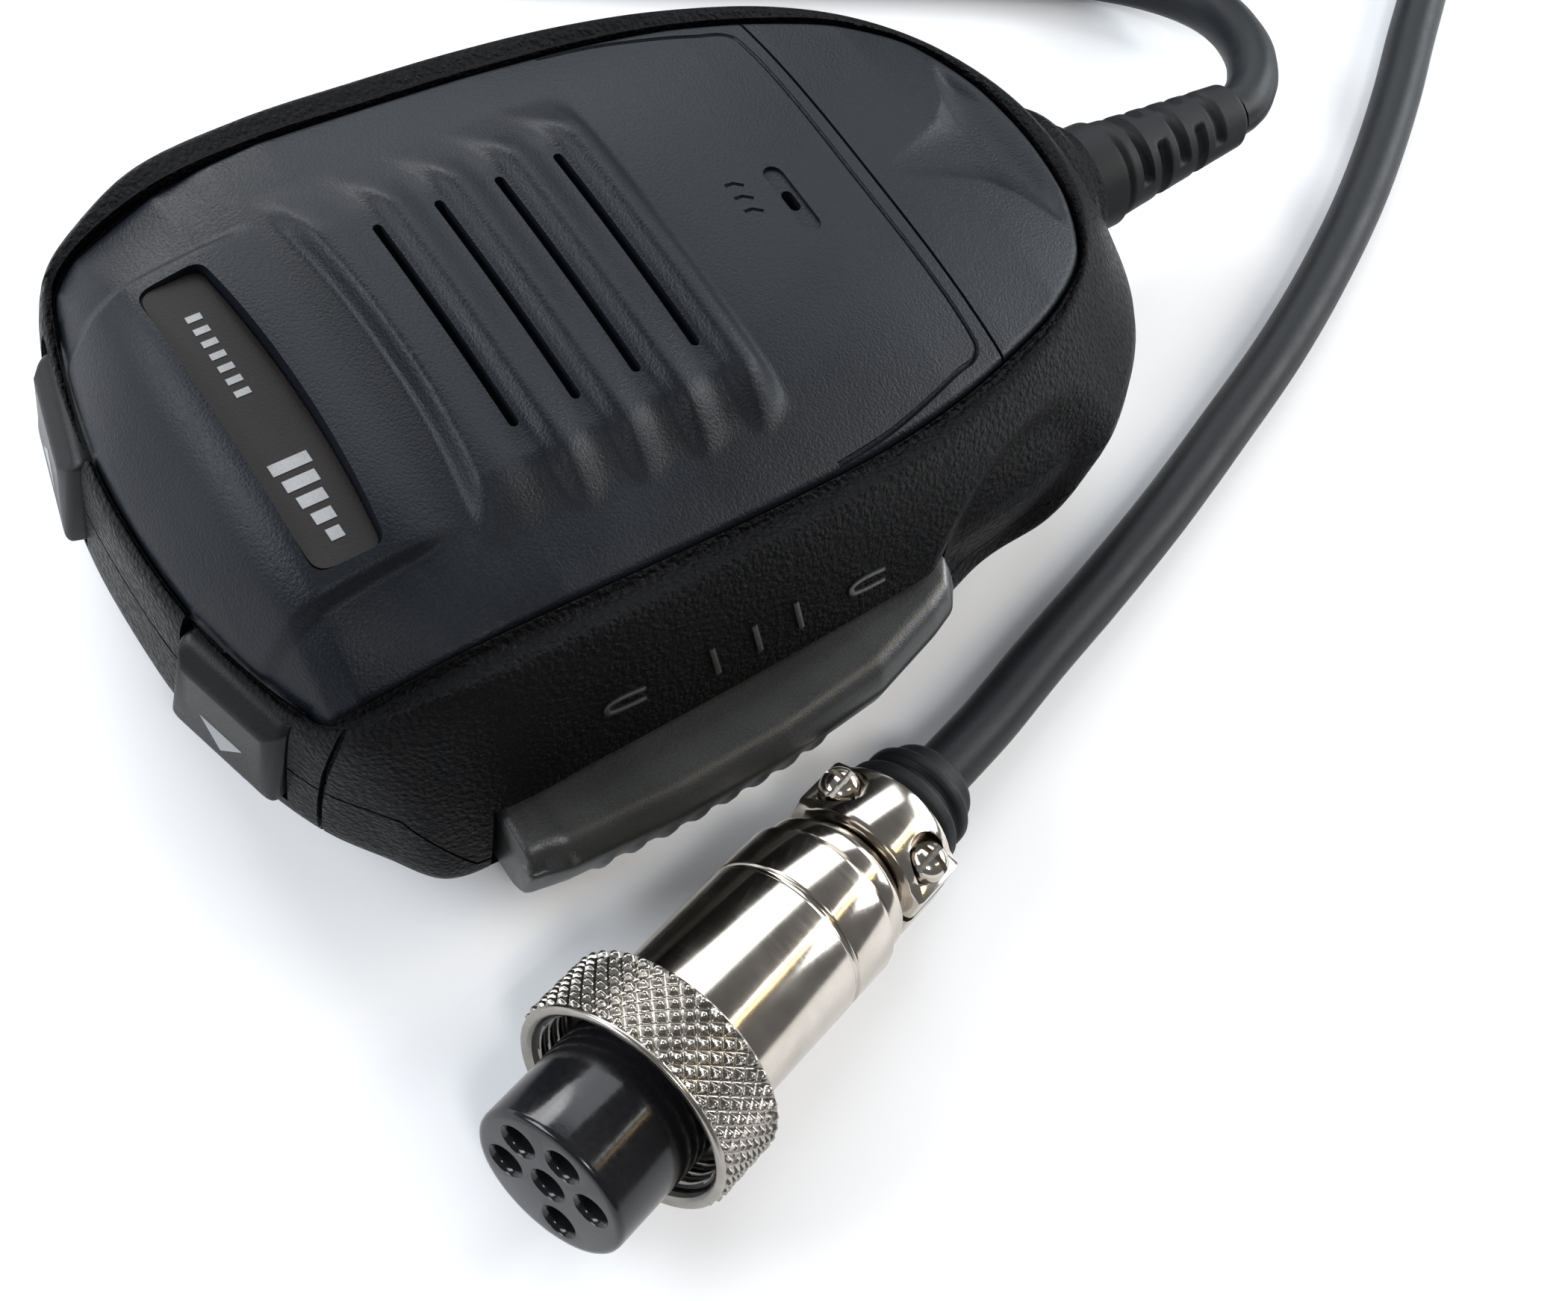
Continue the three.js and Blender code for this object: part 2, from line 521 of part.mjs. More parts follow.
const plugShell = () => turned([
  [SHELL.bore, SHELL.front], [SHELL.flange, SHELL.front], [SHELL.flange, SHELL.neckStart],
  [SHELL.neck, SHELL.neckStart], [SHELL.neck, SHELL.neckEnd], [SHELL.radius, SHELL.neckEnd],
  [SHELL.radius, SHELL.groove - 0.4], [SHELL.radius - 0.35, SHELL.groove - 0.2],
  [SHELL.radius - 0.35, SHELL.groove + 0.2], [SHELL.radius, SHELL.groove + 0.4],
  [SHELL.radius, SHELL.back - 0.4], [SHELL.radius - 0.4, SHELL.back], [SHELL.bore, SHELL.back],
  [SHELL.bore, SHELL.front],
], 32);

function plugInsert() {
  const body = turned([
    [0, INSERT.front], [INSERT.radius - 0.5, INSERT.front], [INSERT.radius, INSERT.front + 0.5],
    [INSERT.radius, INSERT.step], [INSERT.rear, INSERT.step], [INSERT.rear, INSERT.back], [0, INSERT.back],
  ], 28);
  const holes = contactPlaces.flatMap(([x, z]) => [
    alongY(INSERT.bore, -10, 20, x, z, 8), alongY(INSERT.hole, -10, INSERT.front + 5, x, z, 12),
  ]);
  return toGeometry(cut(join(body), ...holes));
}

// Socket contact with its solder cup at the back.
const plugContact = () => turned([[0.5, -2.2], [0.8, -2.2], [0.8, 15], [0.5, 15], [0.5, -2.2]], 8);

const cableGland = () => turned([
  [3, 0], [6.6, 0], [6.6, 1.8], [5.2, 1.8], [5.2, 3], [3, 3], [3, 0],
], 24).translate(0, GLAND_FRONT, 0);

// One of the two saddles that close on the cord, above and below it.
function clampSaddle(side) {
  const shape = new THREE.Shape();
  shape.moveTo(-6.2, 0.4);
  shape.lineTo(-6.2, 2.6);
  shape.quadraticCurveTo(-5.6, 5.9, 0, 6.1);
  shape.quadraticCurveTo(5.6, 5.9, 6.2, 2.6);
  shape.lineTo(6.2, 0.4);
  shape.lineTo(2.98, 0.4);
  shape.absarc(0, 0, 3, 0.13, Math.PI - 0.13, false);
  shape.closePath();
  const options = { depth: CLAMP.width, bevelEnabled: false, curveSegments: 8 };
  const saddle = new THREE.ExtrudeGeometry(shape, options)
    .rotateX(Math.PI / 2)
    .translate(0, CLAMP.front + CLAMP.width, 0);
  const tools = [-CLAMP.screwX, CLAMP.screwX].flatMap((x) => [
    upright(CLAMP.screwHole, x, CLAMP.screwY, 0, 8), upright(1.9, x, CLAMP.screwY, 3.2, 9),
  ]);
  const turn = side > 0 ? 0 : Math.PI;
  return toGeometry(cut(join(saddle.rotateY(turn)), ...tools.map((tool) => tool.rotateY(turn))));
}

const clampScrew = () => turnedUp([
  [0, -4.6], [0.85, -4.6], [0.85, 3.5], [1.6, 3.5], [1.6, 4.9], [0, 4.9],
], 12);

const plugSleeve = () => turned([
  [2.8, 0], [4.6, 0], [5.2, 0.3], [5.2, 1.5], [4.9, 2.1], [4, 2.5], [4, 5.1], [3.6, 5.9], [2.8, 5.9], [2.8, 0],
], 20).translate(0, SLEEVE_FRONT, 0);

// ---------------------------------------------------------------- assembly
const FINISH = {
  panel: { color: 0x2b2d31, roughness: 0.55, metalness: 0 },
  grained: { color: 0x1d1e20, roughness: 0.6, metalness: 0 },
  button: { color: 0x2a2b2d, roughness: 0.45, metalness: 0 },
  label: { color: 0x342f2d, roughness: 0.4, metalness: 0.4 },
  rubber: { color: 0x232527, roughness: 0.75, metalness: 0 },
  cord: { color: 0x2e3134, roughness: 0.6, metalness: 0 },
  nickel: { color: 0xc9c4ba, roughness: 0.15, metalness: 1 },
  satin: { color: 0xb8b2a6, roughness: 0.35, metalness: 1 },
  steel: { color: 0x8d9094, roughness: 0.3, metalness: 1 },
  brass: { color: 0xb08d4a, roughness: 0.3, metalness: 1 },
  gloss: { color: 0x0d0d0e, roughness: 0.15, metalness: 0 },
  board: { color: 0x1f5a38, roughness: 0.5, metalness: 0 },
};

const group = new THREE.Group();

function add(name, geometry, finish, parent = group) {
  const mesh = new THREE.Mesh(geometry, new THREE.MeshStandardMaterial(FINISH[finish]));
  mesh.name = name;
  parent.add(mesh);
  return mesh;
}

add('front_panel', frontPanel(), 'panel');
add('lower_panel', lowerPanel(), 'panel');
add('label_plate', labelPlate(), 'label');
add('front_case', frontCase(), 'grained');
add('rear_cover', rearCover(), 'grained');

[['up', 1], ['down', -1]].forEach(([name, side]) => {
  const frame = new THREE.Group();
  frame.applyMatrix4(keyPlacement(side));
  group.add(frame);
  add(`${name}_button`, keyCap(), 'button', frame);
  add(`${name}_switch_plunger`, plungerOfKey(), 'gloss', frame);
  add(`${name}_switch_body`, switchOfKey(), 'steel', frame);
});

add('talk_bar', talkBar(), 'button');
add('talk_bar_pivot_pin', pivotPin(), 'steel');
add('talk_bar_spring', talkSpring(), 'steel');
add('talk_switch_plunger', talkPlunger(), 'gloss');
add('talk_switch_body', talkSwitch(), 'gloss');

add('circuit_board', circuitBoard(), 'board');
boardPostPlaces.forEach(([x, y], i) => {
  add(`board_screw_${i + 1}`, boardScrew(), 'steel').position.set(x, y, 0);
});
add('voice_capsule', micCapsule(), 'steel').position.set(0, VOICE.y, 0);
add('voice_capsule_holder', micHolder(), 'rubber').position.set(0, VOICE.y, 0);
add('speaker_frame', speakerFrame(), 'steel').position.set(0, SPEAKER_Y, 0);
add('speaker_cone', speakerCone(), 'rubber').position.set(0, SPEAKER_Y, 0);
add('speaker_magnet', speakerMagnet(), 'steel').position.set(0, SPEAKER_Y, 0);

add('hang_stud', hangStud(), 'satin');
add('hang_stud_screw', studScrew(), 'steel');
bossPlaces.forEach(([x, y], i) => {
  add(`cover_screw_${i + 1}`, coverScrew(), 'steel').position.set(x, y, 0);
});

add('strain_relief', strainRelief(), 'rubber');
add('cord_mic_tail', cordTube(MIC_TAIL, 40), 'cord');
add('cord_curl', curledCord(), 'cord');
add('cord_plug_tail', cordTube(PLUG_TAIL, 56), 'cord');

const plug = new THREE.Group();
const [heading, tilt] = [PLUG.heading, PLUG.noseUp].map(THREE.MathUtils.degToRad);
const toward = new THREE.Vector3(Math.cos(heading) * Math.cos(tilt), Math.sin(heading) * Math.cos(tilt),
  -Math.sin(tilt));
const sideways = new THREE.Vector3(Math.sin(heading), -Math.cos(heading), 0);
const upward = new THREE.Vector3().crossVectors(sideways, toward);
plug.applyMatrix4(new THREE.Matrix4().makeBasis(sideways, toward, upward).setPosition(...PLUG.ringFront));
group.add(plug);
add('plug_coupling_ring', couplingRing(), 'satin', plug);
add('plug_shell', plugShell(), 'nickel', plug);
add('plug_insert', plugInsert(), 'gloss', plug);
contactPlaces.forEach(([x, z], i) => {
  add(`plug_contact_${i + 1}`, plugContact(), 'brass', plug).position.set(x, 0, z);
});
add('plug_gland_ring', cableGland(), 'nickel', plug);
add('clamp_saddle_top', clampSaddle(1), 'nickel', plug);
add('clamp_saddle_bottom', clampSaddle(-1), 'nickel', plug);
[-CLAMP.screwX, CLAMP.screwX].forEach((x, i) => {
  add(`clamp_screw_${i + 1}`, clampScrew(), 'nickel', plug).position.set(x, CLAMP.screwY, 0);
});
add('plug_sleeve', plugSleeve(), 'rubber', plug);

export default group;
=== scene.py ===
# Hand microphone with a curly cord and a six-way plug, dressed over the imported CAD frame.
# Sizes are in millimetres in the frame's own axes and become metres when a mesh is made.
from math import ceil, cos, exp, hypot, pi, radians, sin
from types import SimpleNamespace as Sizes

import bpy
import numpy as np
from numpy.linalg import norm
from mathutils import Matrix, Vector
from mathutils.geometry import delaunay_2d_cdt


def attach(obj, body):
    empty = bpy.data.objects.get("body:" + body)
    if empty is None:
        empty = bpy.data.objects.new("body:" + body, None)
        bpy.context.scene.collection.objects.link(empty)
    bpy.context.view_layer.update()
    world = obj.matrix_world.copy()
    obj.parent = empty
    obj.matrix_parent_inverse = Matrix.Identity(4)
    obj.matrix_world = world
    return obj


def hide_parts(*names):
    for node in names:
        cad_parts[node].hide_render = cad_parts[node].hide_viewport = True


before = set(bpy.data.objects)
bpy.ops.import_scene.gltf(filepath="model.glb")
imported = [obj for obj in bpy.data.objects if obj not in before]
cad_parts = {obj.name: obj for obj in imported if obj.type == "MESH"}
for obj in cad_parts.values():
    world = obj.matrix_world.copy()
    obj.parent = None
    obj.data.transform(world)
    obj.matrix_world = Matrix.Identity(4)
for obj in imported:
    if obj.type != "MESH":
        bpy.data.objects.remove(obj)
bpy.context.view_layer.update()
SCENE = bpy.context.scene
MM = 0.001

# ---- driving dimensions
GAP = 0.3
BACK_Z = 4.5
WALL = 2.2
GIRTH_Z = 15
BASE_Z = 7
COLUMNS = 16  # columns between two outline stations
# Half outlines of the case from the middle of the button end: rim x, y, z; girth x, y; base x, y.
STATIONS = [
    (0, 43.5, 20.6, 0, 43.9, 0, 43.8), (7.3, 43.1, 20.7, 7.3, 43.6, 7.3, 43.5),
    (14, 41.9, 21, 14, 42.5, 14, 42.3), (20.6, 39.8, 22, 21.3, 40.1, 21.5, 39.5),
    (22.6, 38.3, 23.5, 24.8, 37.6, 25.9, 36.5), (23.7, 35.3, 25.6, 27.8, 34.9, 29.8, 33.3),
    (25.2, 30, 27.6, 29.6, 29.5, 30.7, 28.5), (25.7, 21, 28.3, 29.7, 20, 30.5, 20),
    (25.6, 11, 28, 29.6, 10, 30.2, 10), (25.3, 1, 27.5, 29.4, 0, 29.8, 0),
    (24.5, -8, 27, 29.1, -10, 29.2, -10), (22.9, -17, 26.4, 28.6, -21, 28.4, -20.5),
    (20.3, -26, 25.5, 27.2, -31, 26.6, -30.5), (16.6, -33.5, 24.5, 23.2, -38.6, 22.4, -38),
    (12, -38.8, 23.5, 17, -44.8, 16, -44),
    (6, -42.3, 22.9, 9, -47.9, 8.5, -47), (0, -43.4, 22.7, 0, -48.8, 0, -48),
]
# Seam between the front panel and the case: x, y, z at the same stations.
SEAM = [
    (0, 42.9, 21), (7.3, 42.5, 21.1), (13.5, 41.2, 21.4), (18.6, 39.6, 22.2), (20.6, 38.7, 23.2),
    (21.4, 36.8, 25.2), (22.3, 30, 28.2), (22.7, 21, 28.8), (22.7, 11, 28.2), (22.6, 2, 27.6), (22, -9, 26.8),
    (20.9, -16.5, 26.4), (19, -24, 25.8), (16.4, -31.2, 25), (12.6, -37, 23.9), (6.8, -40.4, 23.1),
    (0, -41.4, 22.9),
]
# Height of the front panel along its middle line, without the grille block: y, z.
CROWN = [
    (-41.4, 22.9), (-38, 24), (-32, 25.5), (-23, 27.3), (-14, 28.9), (-6, 29.8), (2, 30.3), (10, 30.6),
    (18, 30.8), (24, 30.8), (30, 30.7), (35, 30.5), (36.6, 30.1), (38.6, 28.6), (41, 24.9), (42.9, 21),
]
GRILLE = Sizes(
    slots=4, first=18, pitch=5.3, half_length=10, width=0.8, top=32.3, ridge=0.85,
    land=0.4, rise_run=1.7, fall_run=3, front=21.7, front_run=1.5, flare=2.2,
    back=(-0.9, -3.2), side=17.6, fall=5.2, flute=0.8, sweep=2.4, sweep_x=9.5,
    sweep_run=9, droop=0.003, fade_x=10.5, fade_run=5,
)
LABEL = Sizes(
    half=13.5, outer=36, inner=30.6, bow=1, floor=29.35, step=0.95, corner=1.3,
    rise_y=25, rise_run=4.5, margin=1.9, edge=1.1, dip=0.55,
)
VOICE = Sizes(y=-14.4, half_length=3.5, half_width=0.95, depth=0.42, hole=(1.05, 0.5))
SPLIT_Y = -22.9
PARTING = Sizes(end=14.2, side=8, end_y=36, side_y=31)
KEY = Sizes(x=13.3, y=42.4, z=13.95, turn=15, half_width=5.5, half_height=5.45, proud=1.1)
BAR = Sizes(bottom=5.9, top=14.3)
CABLE_Z = 11
CORD_RADIUS = 2.5
PLUG = Sizes(ring_front=(-52.45, 32.8, 10.43), heading=-74.2, nose_up=6.84)

# ---- camera, floor and light
VIEW = Sizes(position=(-83.84, 81.55, 175.68), azimuth=214.96, elevation=59.15, roll=23.32)
LENS = 54.86
CENTRE, PLUG_POINT = (0, 0, 0), (-0.045, 0.01, 0.01)
UPRIGHT, PLUG_AXIS = (0, 0, 1), (0.27, -0.955, -0.12)
WHITE = (1, 1, 1)
# In metres: name, place, aim, width and height; then watts, colour and the direction the height follows.
LIGHTS = [
    ("window", (0.35, 0.55, 0.4), CENTRE, (0.5, 0.3), 6, (0.88, 0.94, 1), UPRIGHT),
    ("softbox", (0.41, -0.31, 0.44), PLUG_POINT, (0.55, 0.5), 3.2, (0.9, 0.95, 1), PLUG_AXIS),
    ("strip", (-0.2, -0.47, 0.48), PLUG_POINT, (0.011, 0.6), 0.5, (1, 0.99, 0.96), PLUG_AXIS),
    ("lamp", (-0.25, -0.5, 0.455), PLUG_POINT, (0.009, 0.6), 0.5, (1, 0.72, 0.3), PLUG_AXIS),
    ("back", (-0.1, -0.7, 0.3), CENTRE, (0.6, 0.25), 6, (0.9, 0.95, 1), UPRIGHT),
    ("side", (0.75, 0, 0.42), CENTRE, (0.3, 0.5), 5, WHITE, UPRIGHT),
    ("sheen", (-0.35, 0.2, 0.6), CENTRE, (0.12, 0.12), 1.2, WHITE, UPRIGHT),
]


def linked(name, data):
    obj = bpy.data.objects.new(name, data)
    SCENE.collection.objects.link(obj)
    return obj


def placed(position, *axes):
    """Placement with the given position and local X, Y and Z axes."""
    return Matrix.Translation(position) @ Matrix(axes).transposed().to_4x4()


def make_camera():
    data = bpy.data.cameras.new("camera")
    data.lens = LENS
    data.sensor_width = 36
    data.clip_start = 0.005
    camera = linked("camera", data)
    a, e, roll = map(radians, (VIEW.azimuth, VIEW.elevation, VIEW.roll))
    back = Vector((sin(a) * cos(e), -cos(a) * cos(e), sin(e)))
    level = Vector((cos(a), sin(a), 0))
    right = Matrix.Rotation(roll, 3, back) @ level
    camera.matrix_world = placed(Vector(VIEW.position) * MM, right, back.cross(right), back)
    bpy.context.scene.camera = camera


def area_light(name, place, aim, size, watts, colour, along):
    data = bpy.data.lights.new(name, "AREA")
    data.shape = "RECTANGLE"
    data.size, data.size_y = size
    data.energy = watts
    data.color = colour
    back = (Vector(place) - Vector(aim)).normalized()
    across = Vector(along).cross(back).normalized()
    linked(name, data).matrix_world = placed(place, across, back.cross(across), back)


def make_light():
    world = bpy.data.worlds.new("studio")
    bpy.context.scene.world = world
    world.use_nodes = True
    sky = world.node_tree.nodes["Background"].inputs
    sky["Color"].default_value = (0.95, 0.96, 1, 1)
    sky["Strength"].default_value = 0.2
    for light in LIGHTS:
        area_light(*light)
    bpy.context.scene.view_settings.view_transform = "Standard"


# ---- materials
class Nodes:
    """A node material under construction: a principled shader and short ways to add nodes to it."""

    def __init__(self, name):
        self.material = bpy.data.materials.new(name)
        self.material.use_nodes = True
        self.tree = self.material.node_tree
        self.shader = self.tree.nodes["Principled BSDF"]
        coordinates = self.tree.nodes.new("ShaderNodeTexCoord")
        scale = self.tree.nodes.new("ShaderNodeMapping")
        scale.inputs["Scale"].default_value = (1000, 1000, 1000)
        self.tree.links.new(coordinates.outputs["Object"], scale.inputs["Vector"])
        self.place = scale.outputs["Vector"]

    def add(self, kind, inputs=None, **settings):
        node = self.tree.nodes.new(kind)
        for key, value in settings.items():
            setattr(node, key, value)
        for key, value in (inputs or {}).items():
            if isinstance(value, bpy.types.NodeSocket):
                self.tree.links.new(value, node.inputs[key])
            else:
                node.inputs[key].default_value = value
        return node

    def stretched(self, scale):
        return self.add("ShaderNodeMapping", {"Vector": self.place, "Scale": scale}).outputs["Vector"]

    def noise(self, scale, detail=3, rough=0.55, place=None):
        inputs = {"Vector": place or self.place, "Scale": scale, "Detail": detail, "Roughness": rough}
        return self.add("ShaderNodeTexNoise", inputs).outputs["Fac"]

    def cells(self, scale, smoothness):
        inputs = {"Vector": self.place, "Scale": scale, "Smoothness": smoothness}
        return self.add("ShaderNodeTexVoronoi", inputs, feature="SMOOTH_F1").outputs["Distance"]

    def ranged(self, value, low, high, start=0.3, end=0.7):
        inputs = {"Value": value, "From Min": start, "From Max": end, "To Min": low, "To Max": high}
        return self.add("ShaderNodeMapRange", inputs).outputs["Result"]

    def mixed(self, share, first, second):
        node = self.add("ShaderNodeMix", data_type="RGBA")
        self.tree.links.new(share, node.inputs["Factor"])
        node.inputs["A"].default_value = (*first, 1)
        node.inputs["B"].default_value = (*second, 1)
        return node.outputs["Result"]

    def summed(self, first, second):
        return self.add("ShaderNodeMath", {0: first, 1: second}, operation="ADD").outputs[0]

    def bump(self, height, strength, depth):
        inputs = {"Height": height, "Strength": strength, "Distance": depth * MM}
        return self.add("ShaderNodeBump", inputs).outputs["Normal"]

    def finish(self, colour=None, roughness=None, normal=None, **constants):
        for key, socket in (("Base Color", colour), ("Roughness", roughness), ("Normal", normal)):
            if socket:
                self.tree.links.new(socket, self.shader.inputs[key])
        for key, value in constants.items():
            self.shader.inputs[key.replace("_", " ").title().replace("Ior", "IOR")].default_value = value
        return self.material


def moulded(name, dark, light, roughness, grain, depth, broad=0.05, shine=0.3):
    """Moulded plastic with an eroded texture: fine noise for the grain, slow drift in tone and gloss."""
    n = Nodes(name)
    fine = n.noise(grain, 2, 0.6)
    slow = n.noise(0.12, 2)
    colour = n.mixed(n.ranged(n.summed(slow, n.ranged(fine, -0.12, 0.12)), 0, 1), dark, light)
    rough = n.summed(n.ranged(slow, roughness - 0.04, roughness + 0.04), n.ranged(fine, -broad, broad))
    return n.finish(colour, rough, n.bump(fine, 0.5, depth), Specular_IOR_Level=shine)


def grained(name, dark, light, roughness, cell, depth):
    """Black plastic with a leather grain: rounded cells with worn, glossier tops."""
    n = Nodes(name)
    cells = n.cells(1 / cell, 0.35)
    wrinkles = n.noise(2.2 / cell, 3, 0.6)
    slow = n.noise(0.1, 2)
    colour = n.mixed(n.ranged(slow, 0, 1), dark, light)
    height = n.summed(n.ranged(cells, 1, 0, 0, 0.75), n.ranged(wrinkles, -0.25, 0.25))
    rough = n.summed(n.ranged(cells, roughness - 0.08, roughness + 0.12, 0, 0.7),
                     n.ranged(wrinkles, -0.06, 0.06))
    return n.finish(colour, rough, n.bump(height, 0.8, depth), Specular_IOR_Level=0.06)


def metal(name, dark, light, roughness, stretch, depth, spread=0.05):
    """Plated metal with fine turning lines round the local Y axis and faint clouding."""
    n = Nodes(name)
    lines = n.noise(1, 3, 0.6, n.stretched(stretch))
    slow = n.noise(0.35, 3)
    colour = n.mixed(n.ranged(slow, 0, 1), dark, light)
    rough = n.summed(n.ranged(slow, roughness - spread / 2, roughness + spread / 2),
                     n.ranged(lines, -spread, spread))
    return n.finish(colour, rough, n.bump(lines, 0.35, depth), Metallic=1.0)


def rubber(name, dark, light, roughness, grain=5.0, depth=0.03):
    """Matt rubber with a fine even grain."""
    n = Nodes(name)
    fine = n.noise(grain, 3, 0.6)
    slow = n.noise(0.2, 3)
    colour = n.mixed(n.ranged(slow, 0, 1), dark, light)
    rough = n.summed(n.ranged(slow, roughness - 0.05, roughness + 0.05), n.ranged(fine, -0.05, 0.05))
    return n.finish(colour, rough, n.bump(fine, 0.4, depth), Specular_IOR_Level=0.16)


def floor_material():
    n = Nodes("floor")
    slow = n.noise(0.02, 2)
    return n.finish(n.mixed(n.ranged(slow, 0, 1), (0.86, 0.86, 0.87), (0.88, 0.88, 0.89)),
                    n.ranged(n.noise(0.5, 2), 0.6, 0.7))


# Name and kind, two colours and a roughness, then the kind's own grain and gloss.
MATERIALS = {name: kind(name, *values) for name, kind, *values in (
    ("panel", moulded, (0.0048, 0.006, 0.0085), (0.0072, 0.0088, 0.012), 0.42, 4.2, 0.11, 0.06, 0.16),
    ("grained", grained, (0.0014, 0.0014, 0.0017), (0.003, 0.003, 0.0035), 0.3, 0.5, 0.22),
    ("button", moulded, (0.0045, 0.0045, 0.0048), (0.007, 0.007, 0.0074), 0.4, 6, 0.03, 0.05, 0.18),
    ("bar", moulded, (0.013, 0.0133, 0.0127), (0.0185, 0.0188, 0.018), 0.36, 6, 0.04, 0.05, 0.6),
    ("label", moulded, (0.0105, 0.0086, 0.008), (0.0155, 0.013, 0.012), 0.45, 5, 0.03, 0.05, 0.16),
    ("print", moulded, (0.2, 0.205, 0.21), (0.27, 0.275, 0.28), 0.4, 5, 0.01),
    ("rubber", rubber, (0.006, 0.0065, 0.0074), (0.009, 0.0098, 0.011), 0.55),
    ("cord", rubber, (0.0085, 0.0097, 0.0112), (0.0125, 0.014, 0.016), 0.45, 3.0, 0.015),
    ("nickel", metal, (0.46, 0.42, 0.37), (0.56, 0.515, 0.455), 0.14, (0.3, 9, 0.3), 0.004, 0.03),
    ("satin", metal, (0.26, 0.24, 0.215), (0.34, 0.32, 0.285), 0.26, (0.5, 6, 0.5), 0.008),
    # bore: a darker copy of the satin metal, put on the ring's thread as painted shade inside its mouth
    ("bore", metal, (0.03, 0.028, 0.026), (0.05, 0.047, 0.044), 0.3, (0.5, 6, 0.5), 0.008),
    ("steel", metal, (0.42, 0.42, 0.43), (0.54, 0.54, 0.55), 0.28, (3, 3, 0.4), 0.006),
    ("brass", metal, (0.62, 0.45, 0.2), (0.75, 0.57, 0.28), 0.28, (0.4, 6, 0.4), 0.006),
    ("gloss", moulded, (0.006, 0.006, 0.007), (0.01, 0.01, 0.011), 0.16, 2, 0.008, 0.03),
    ("board", moulded, (0.012, 0.09, 0.04), (0.02, 0.13, 0.06), 0.35, 1.2, 0.03),
)}


# ---- mesh tools
def skinned(rows, closed=False):
    """Vertices and faces of a closed solid through rows of points; closed joins the last row to the first."""
    rows = np.asarray(rows, float)
    levels, columns, _ = rows.shape
    index = np.arange(levels * columns).reshape(levels, columns)
    after = np.roll(index, -1, axis=1)
    low, high = (index, np.roll(index, -1, axis=0)) if closed else (index[:-1], index[1:])
    low_after, high_after = (after, np.roll(after, -1, axis=0)) if closed else (after[:-1], after[1:])
    faces = np.stack([low, low_after, high_after, high], axis=-1).reshape(-1, 4).tolist()
    points = rows.reshape(-1, 3)
    if not closed:
        points = np.vstack([points, rows[0].mean(0), rows[-1].mean(0)])
        bottom, top = levels * columns, levels * columns + 1
        faces += [(bottom, int(b), int(a)) for a, b in zip(index[0], after[0])]
        faces += [(top, int(a), int(b)) for a, b in zip(index[-1], after[-1])]
    return points, faces


def piece(name, solid, material, crease=35, place=None):
    """Object from (points, faces) in millimetres, shaded smooth with sharp edges over the crease angle."""
    points, faces = solid
    mesh = bpy.data.meshes.new(name)
    mesh.from_pydata((np.asarray(points) * MM).tolist(), [], faces)
    mesh.validate()
    obj = linked(name, mesh)
    if place is not None:
        obj.matrix_world = place
    if material:
        mesh.materials.append(MATERIALS[material])
    return shaded(obj, crease)


def shaded(obj, crease=35):
    obj.data.polygons.foreach_set("use_smooth", [True] * len(obj.data.polygons))
    obj.data.set_sharp_from_angle(angle=radians(crease))
    return obj


def applied(obj):
    """Replaces the object's mesh with the result of its modifiers."""
    bpy.context.view_layer.update()
    evaluated = obj.evaluated_get(bpy.context.evaluated_depsgraph_get())
    mesh = bpy.data.meshes.new_from_object(evaluated)
    old = obj.data
    obj.modifiers.clear()
    obj.data = mesh
    mesh.name = obj.name
    bpy.data.meshes.remove(old)
    return obj


def combined(obj, operation, *solids):
    """Boolean of the object with each (points, faces) solid in turn."""
    for solid in solids:
        tool = piece("tool", solid, None)
        tool.matrix_world = obj.matrix_world
        modifier = obj.modifiers.new("boolean", "BOOLEAN")
        modifier.operation = operation
        modifier.solver = "MANIFOLD"
        modifier.object = tool
        applied(obj)
        bpy.data.objects.remove(tool)
    return obj


def carved(obj, *solids):
    return combined(obj, "DIFFERENCE", *solids)


def box(low, high):
    (x0, y0, z0), (x1, y1, z1) = low, high
    return skinned([[(x0, y0, z), (x1, y0, z), (x1, y1, z), (x0, y1, z)] for z in (z0, z1)])


def full_turn(count):
    return np.linspace(0, 2 * pi, count, endpoint=False)


def circle(radius, y, angles):
    """Ring of points round the Y axis; the radius may vary with the angle."""
    radius = np.broadcast_to(radius, angles.shape)
    return np.stack([radius * np.sin(angles), np.full(len(angles), y), radius * np.cos(angles)], axis=1)


def turned(profile, sides):
    """Solid turned about the Y axis from a closed [radius, y] profile."""
    return skinned([circle(radius, y, full_turn(sides)) for radius, y in profile], closed=True)


def lathed(profile, cuts, sides):
    """Solid turned from a closed profile whose corners after the first are rounded by the cuts."""
    return turned(rounded(profile + profile[:1], cuts)[:-1], sides)


def stood_up(profile, cuts, sides, x=0, y=0):
    """Solid turned from a rounded profile, with its axis upright at (x, y)."""
    points, faces = turned(rounded(profile, cuts), sides)
    return points[:, [0, 2, 1]] + (x, y, 0), [face[::-1] for face in faces]


def on_cable(solid):
    """The turned solid moved to the height where the cable leaves the case."""
    return solid[0] + (0, 0, CABLE_Z), solid[1]


def prism(outline, bottom, top):
    outline = np.asarray(outline, float)
    return skinned([np.column_stack([outline, np.full(len(outline), z)]) for z in (bottom, top)])


def upright(radius, x, y, bottom, top):
    """Round bar along Z."""
    angles = full_turn(40)
    return prism(np.stack([x + radius * np.cos(angles), y + radius * np.sin(angles)], axis=1), bottom, top)


def cross_slot(x, y, length, width, bottom, top):
    """Two crossed cutters, of the given half length and half width, for the head of a screw."""
    return [box((x - a, y - b, bottom), (x + a, y + b, top)) for a, b in ((length, width), (width, length))]


def transformed(solid, matrix):
    points, faces = solid
    turn = np.array(matrix.to_3x3())
    return np.asarray(points) @ turn.T + np.array(matrix.translation), faces


